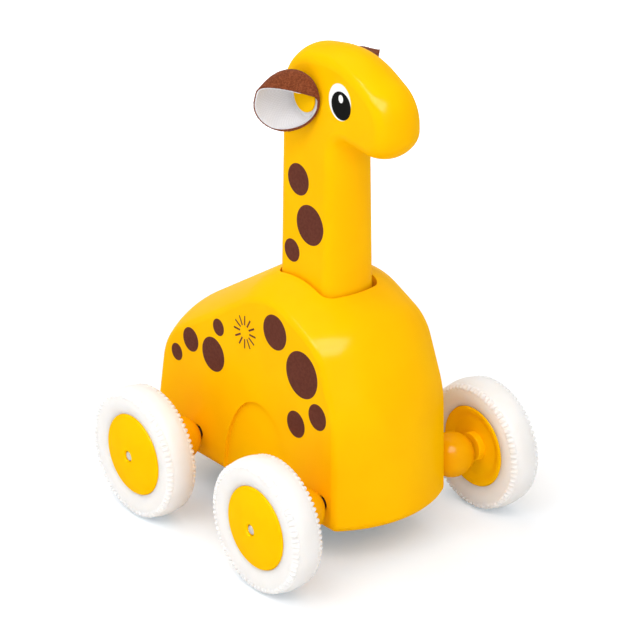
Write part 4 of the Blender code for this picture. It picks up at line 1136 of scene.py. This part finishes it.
def make_camera():
    data = bpy.data.cameras.new("camera")
    data.lens = LENS
    data.sensor_width = SENSOR
    data.sensor_fit = "HORIZONTAL"
    data.clip_start = 0.01
    data.clip_end = 50
    camera = bpy.data.objects.new("camera", data)
    level = math.cos(ELEVATION)
    away = Vector((math.sin(AZIMUTH) * level, -math.cos(AZIMUTH) * level, math.sin(ELEVATION)))
    camera.location = TARGET + away * DISTANCE
    camera.rotation_euler = (-away).to_track_quat("-Z", "Y").to_euler()
    bpy.context.collection.objects.link(camera)
    bpy.context.scene.camera = camera


def seen_share(tree):
    """1 for what the camera sees, also in a mirror or through glass, and 0 for all other light."""
    path = tree.nodes.new("ShaderNodeLightPath")
    share = path.outputs["Is Camera Ray"]
    for kind in ("Is Glossy Ray", "Is Transmission Ray"):
        node = tree.nodes.new("ShaderNodeMath")
        node.operation = "MAXIMUM"
        tree.links.new(share, node.inputs[0])
        tree.links.new(path.outputs[kind], node.inputs[1])
        share = node.outputs[0]
    return share


def floor_paint():
    """Pale paint with a glow that is seen but lights nothing."""
    paint = Paint("floor_pale", Specular_IOR_Level=0.0, Roughness=1.0)
    paint.colour(paint.mix(paint.noise(FLOOR_CLOUD), FLOOR_PALE, FLOOR_DEEP))
    tree = paint.tree
    glow = paint.add("ShaderNodeEmission")
    reach = paint.vector("LENGTH", paint.place)
    tint = paint.mix(paint.step(reach, *NEAR_FADE), NEAR_TINT, (1, 1, 1))
    # painted shadow: a dimmer glow right under the toy
    tint = paint.mix(paint.step(reach, *UNDER_SHADOW_FADE), UNDER_SHADOW_TINT, tint)
    paint.feed(glow.inputs["Color"], tint)
    level = paint.step(reach, *GLOW_FADE, NEAR_GLOW, FAR_GLOW)
    paint.feed(glow.inputs["Strength"], paint.maths("MULTIPLY", seen_share(tree), level))
    both = paint.add("ShaderNodeAddShader")
    tree.links.new(paint.shader.outputs[0], both.inputs[0])
    tree.links.new(glow.outputs[0], both.inputs[1])
    tree.links.new(both.outputs[0], tree.nodes["Material Output"].inputs["Surface"])
    return paint.material


def make_floor():
    """Floor that shows as white to the camera but keeps the toy's shadow."""
    bm = bmesh.new()
    bmesh.ops.create_grid(bm, x_segments=1, y_segments=1, size=FLOOR_HALF)
    mesh = bpy.data.meshes.new("floor")
    bm.to_mesh(mesh)
    bm.free()
    mesh.materials.append(floor_paint())
    floor = bpy.data.objects.new("floor", mesh)
    floor.location = (0, 0, -FLOOR_DROP)
    bpy.context.collection.objects.link(floor)


def make_light():
    world = bpy.data.worlds.new("studio")
    world.use_nodes = True
    bpy.context.scene.world = world
    tree = world.node_tree
    background = tree.nodes["Background"]
    background.inputs["Color"].default_value = (1, 1, 1, 1)
    strength = tree.nodes.new("ShaderNodeMath")
    strength.operation = "MULTIPLY_ADD"
    tree.links.new(seen_share(tree), strength.inputs[0])
    strength.inputs[1].default_value = 1 - AMBIENT
    strength.inputs[2].default_value = AMBIENT
    tree.links.new(strength.outputs[0], background.inputs["Strength"])
    for name, place, wide, high, watts, card in LAMPS:
        data = bpy.data.lights.new(name, "AREA")
        data.shape = "RECTANGLE"
        data.size = wide
        data.size_y = high
        data.energy = watts
        lamp = bpy.data.objects.new(name, data)
        lamp.location = place
        lamp.visible_diffuse = not card
        lamp.rotation_euler = (LAMP_AIM - Vector(place)).to_track_quat("-Z", "Y").to_euler()
        bpy.context.collection.objects.link(lamp)
    bpy.context.scene.view_settings.view_transform = "Standard"


make_camera()
make_body()
make_neck()
for ear_side, ear_sign in SIDES.items():
    make_ear(ear_side, ear_sign)
    make_plug(ear_side, ear_sign)
make_wheels()
make_spring()
make_screws()
dress_nodes()
make_floor()
make_light()
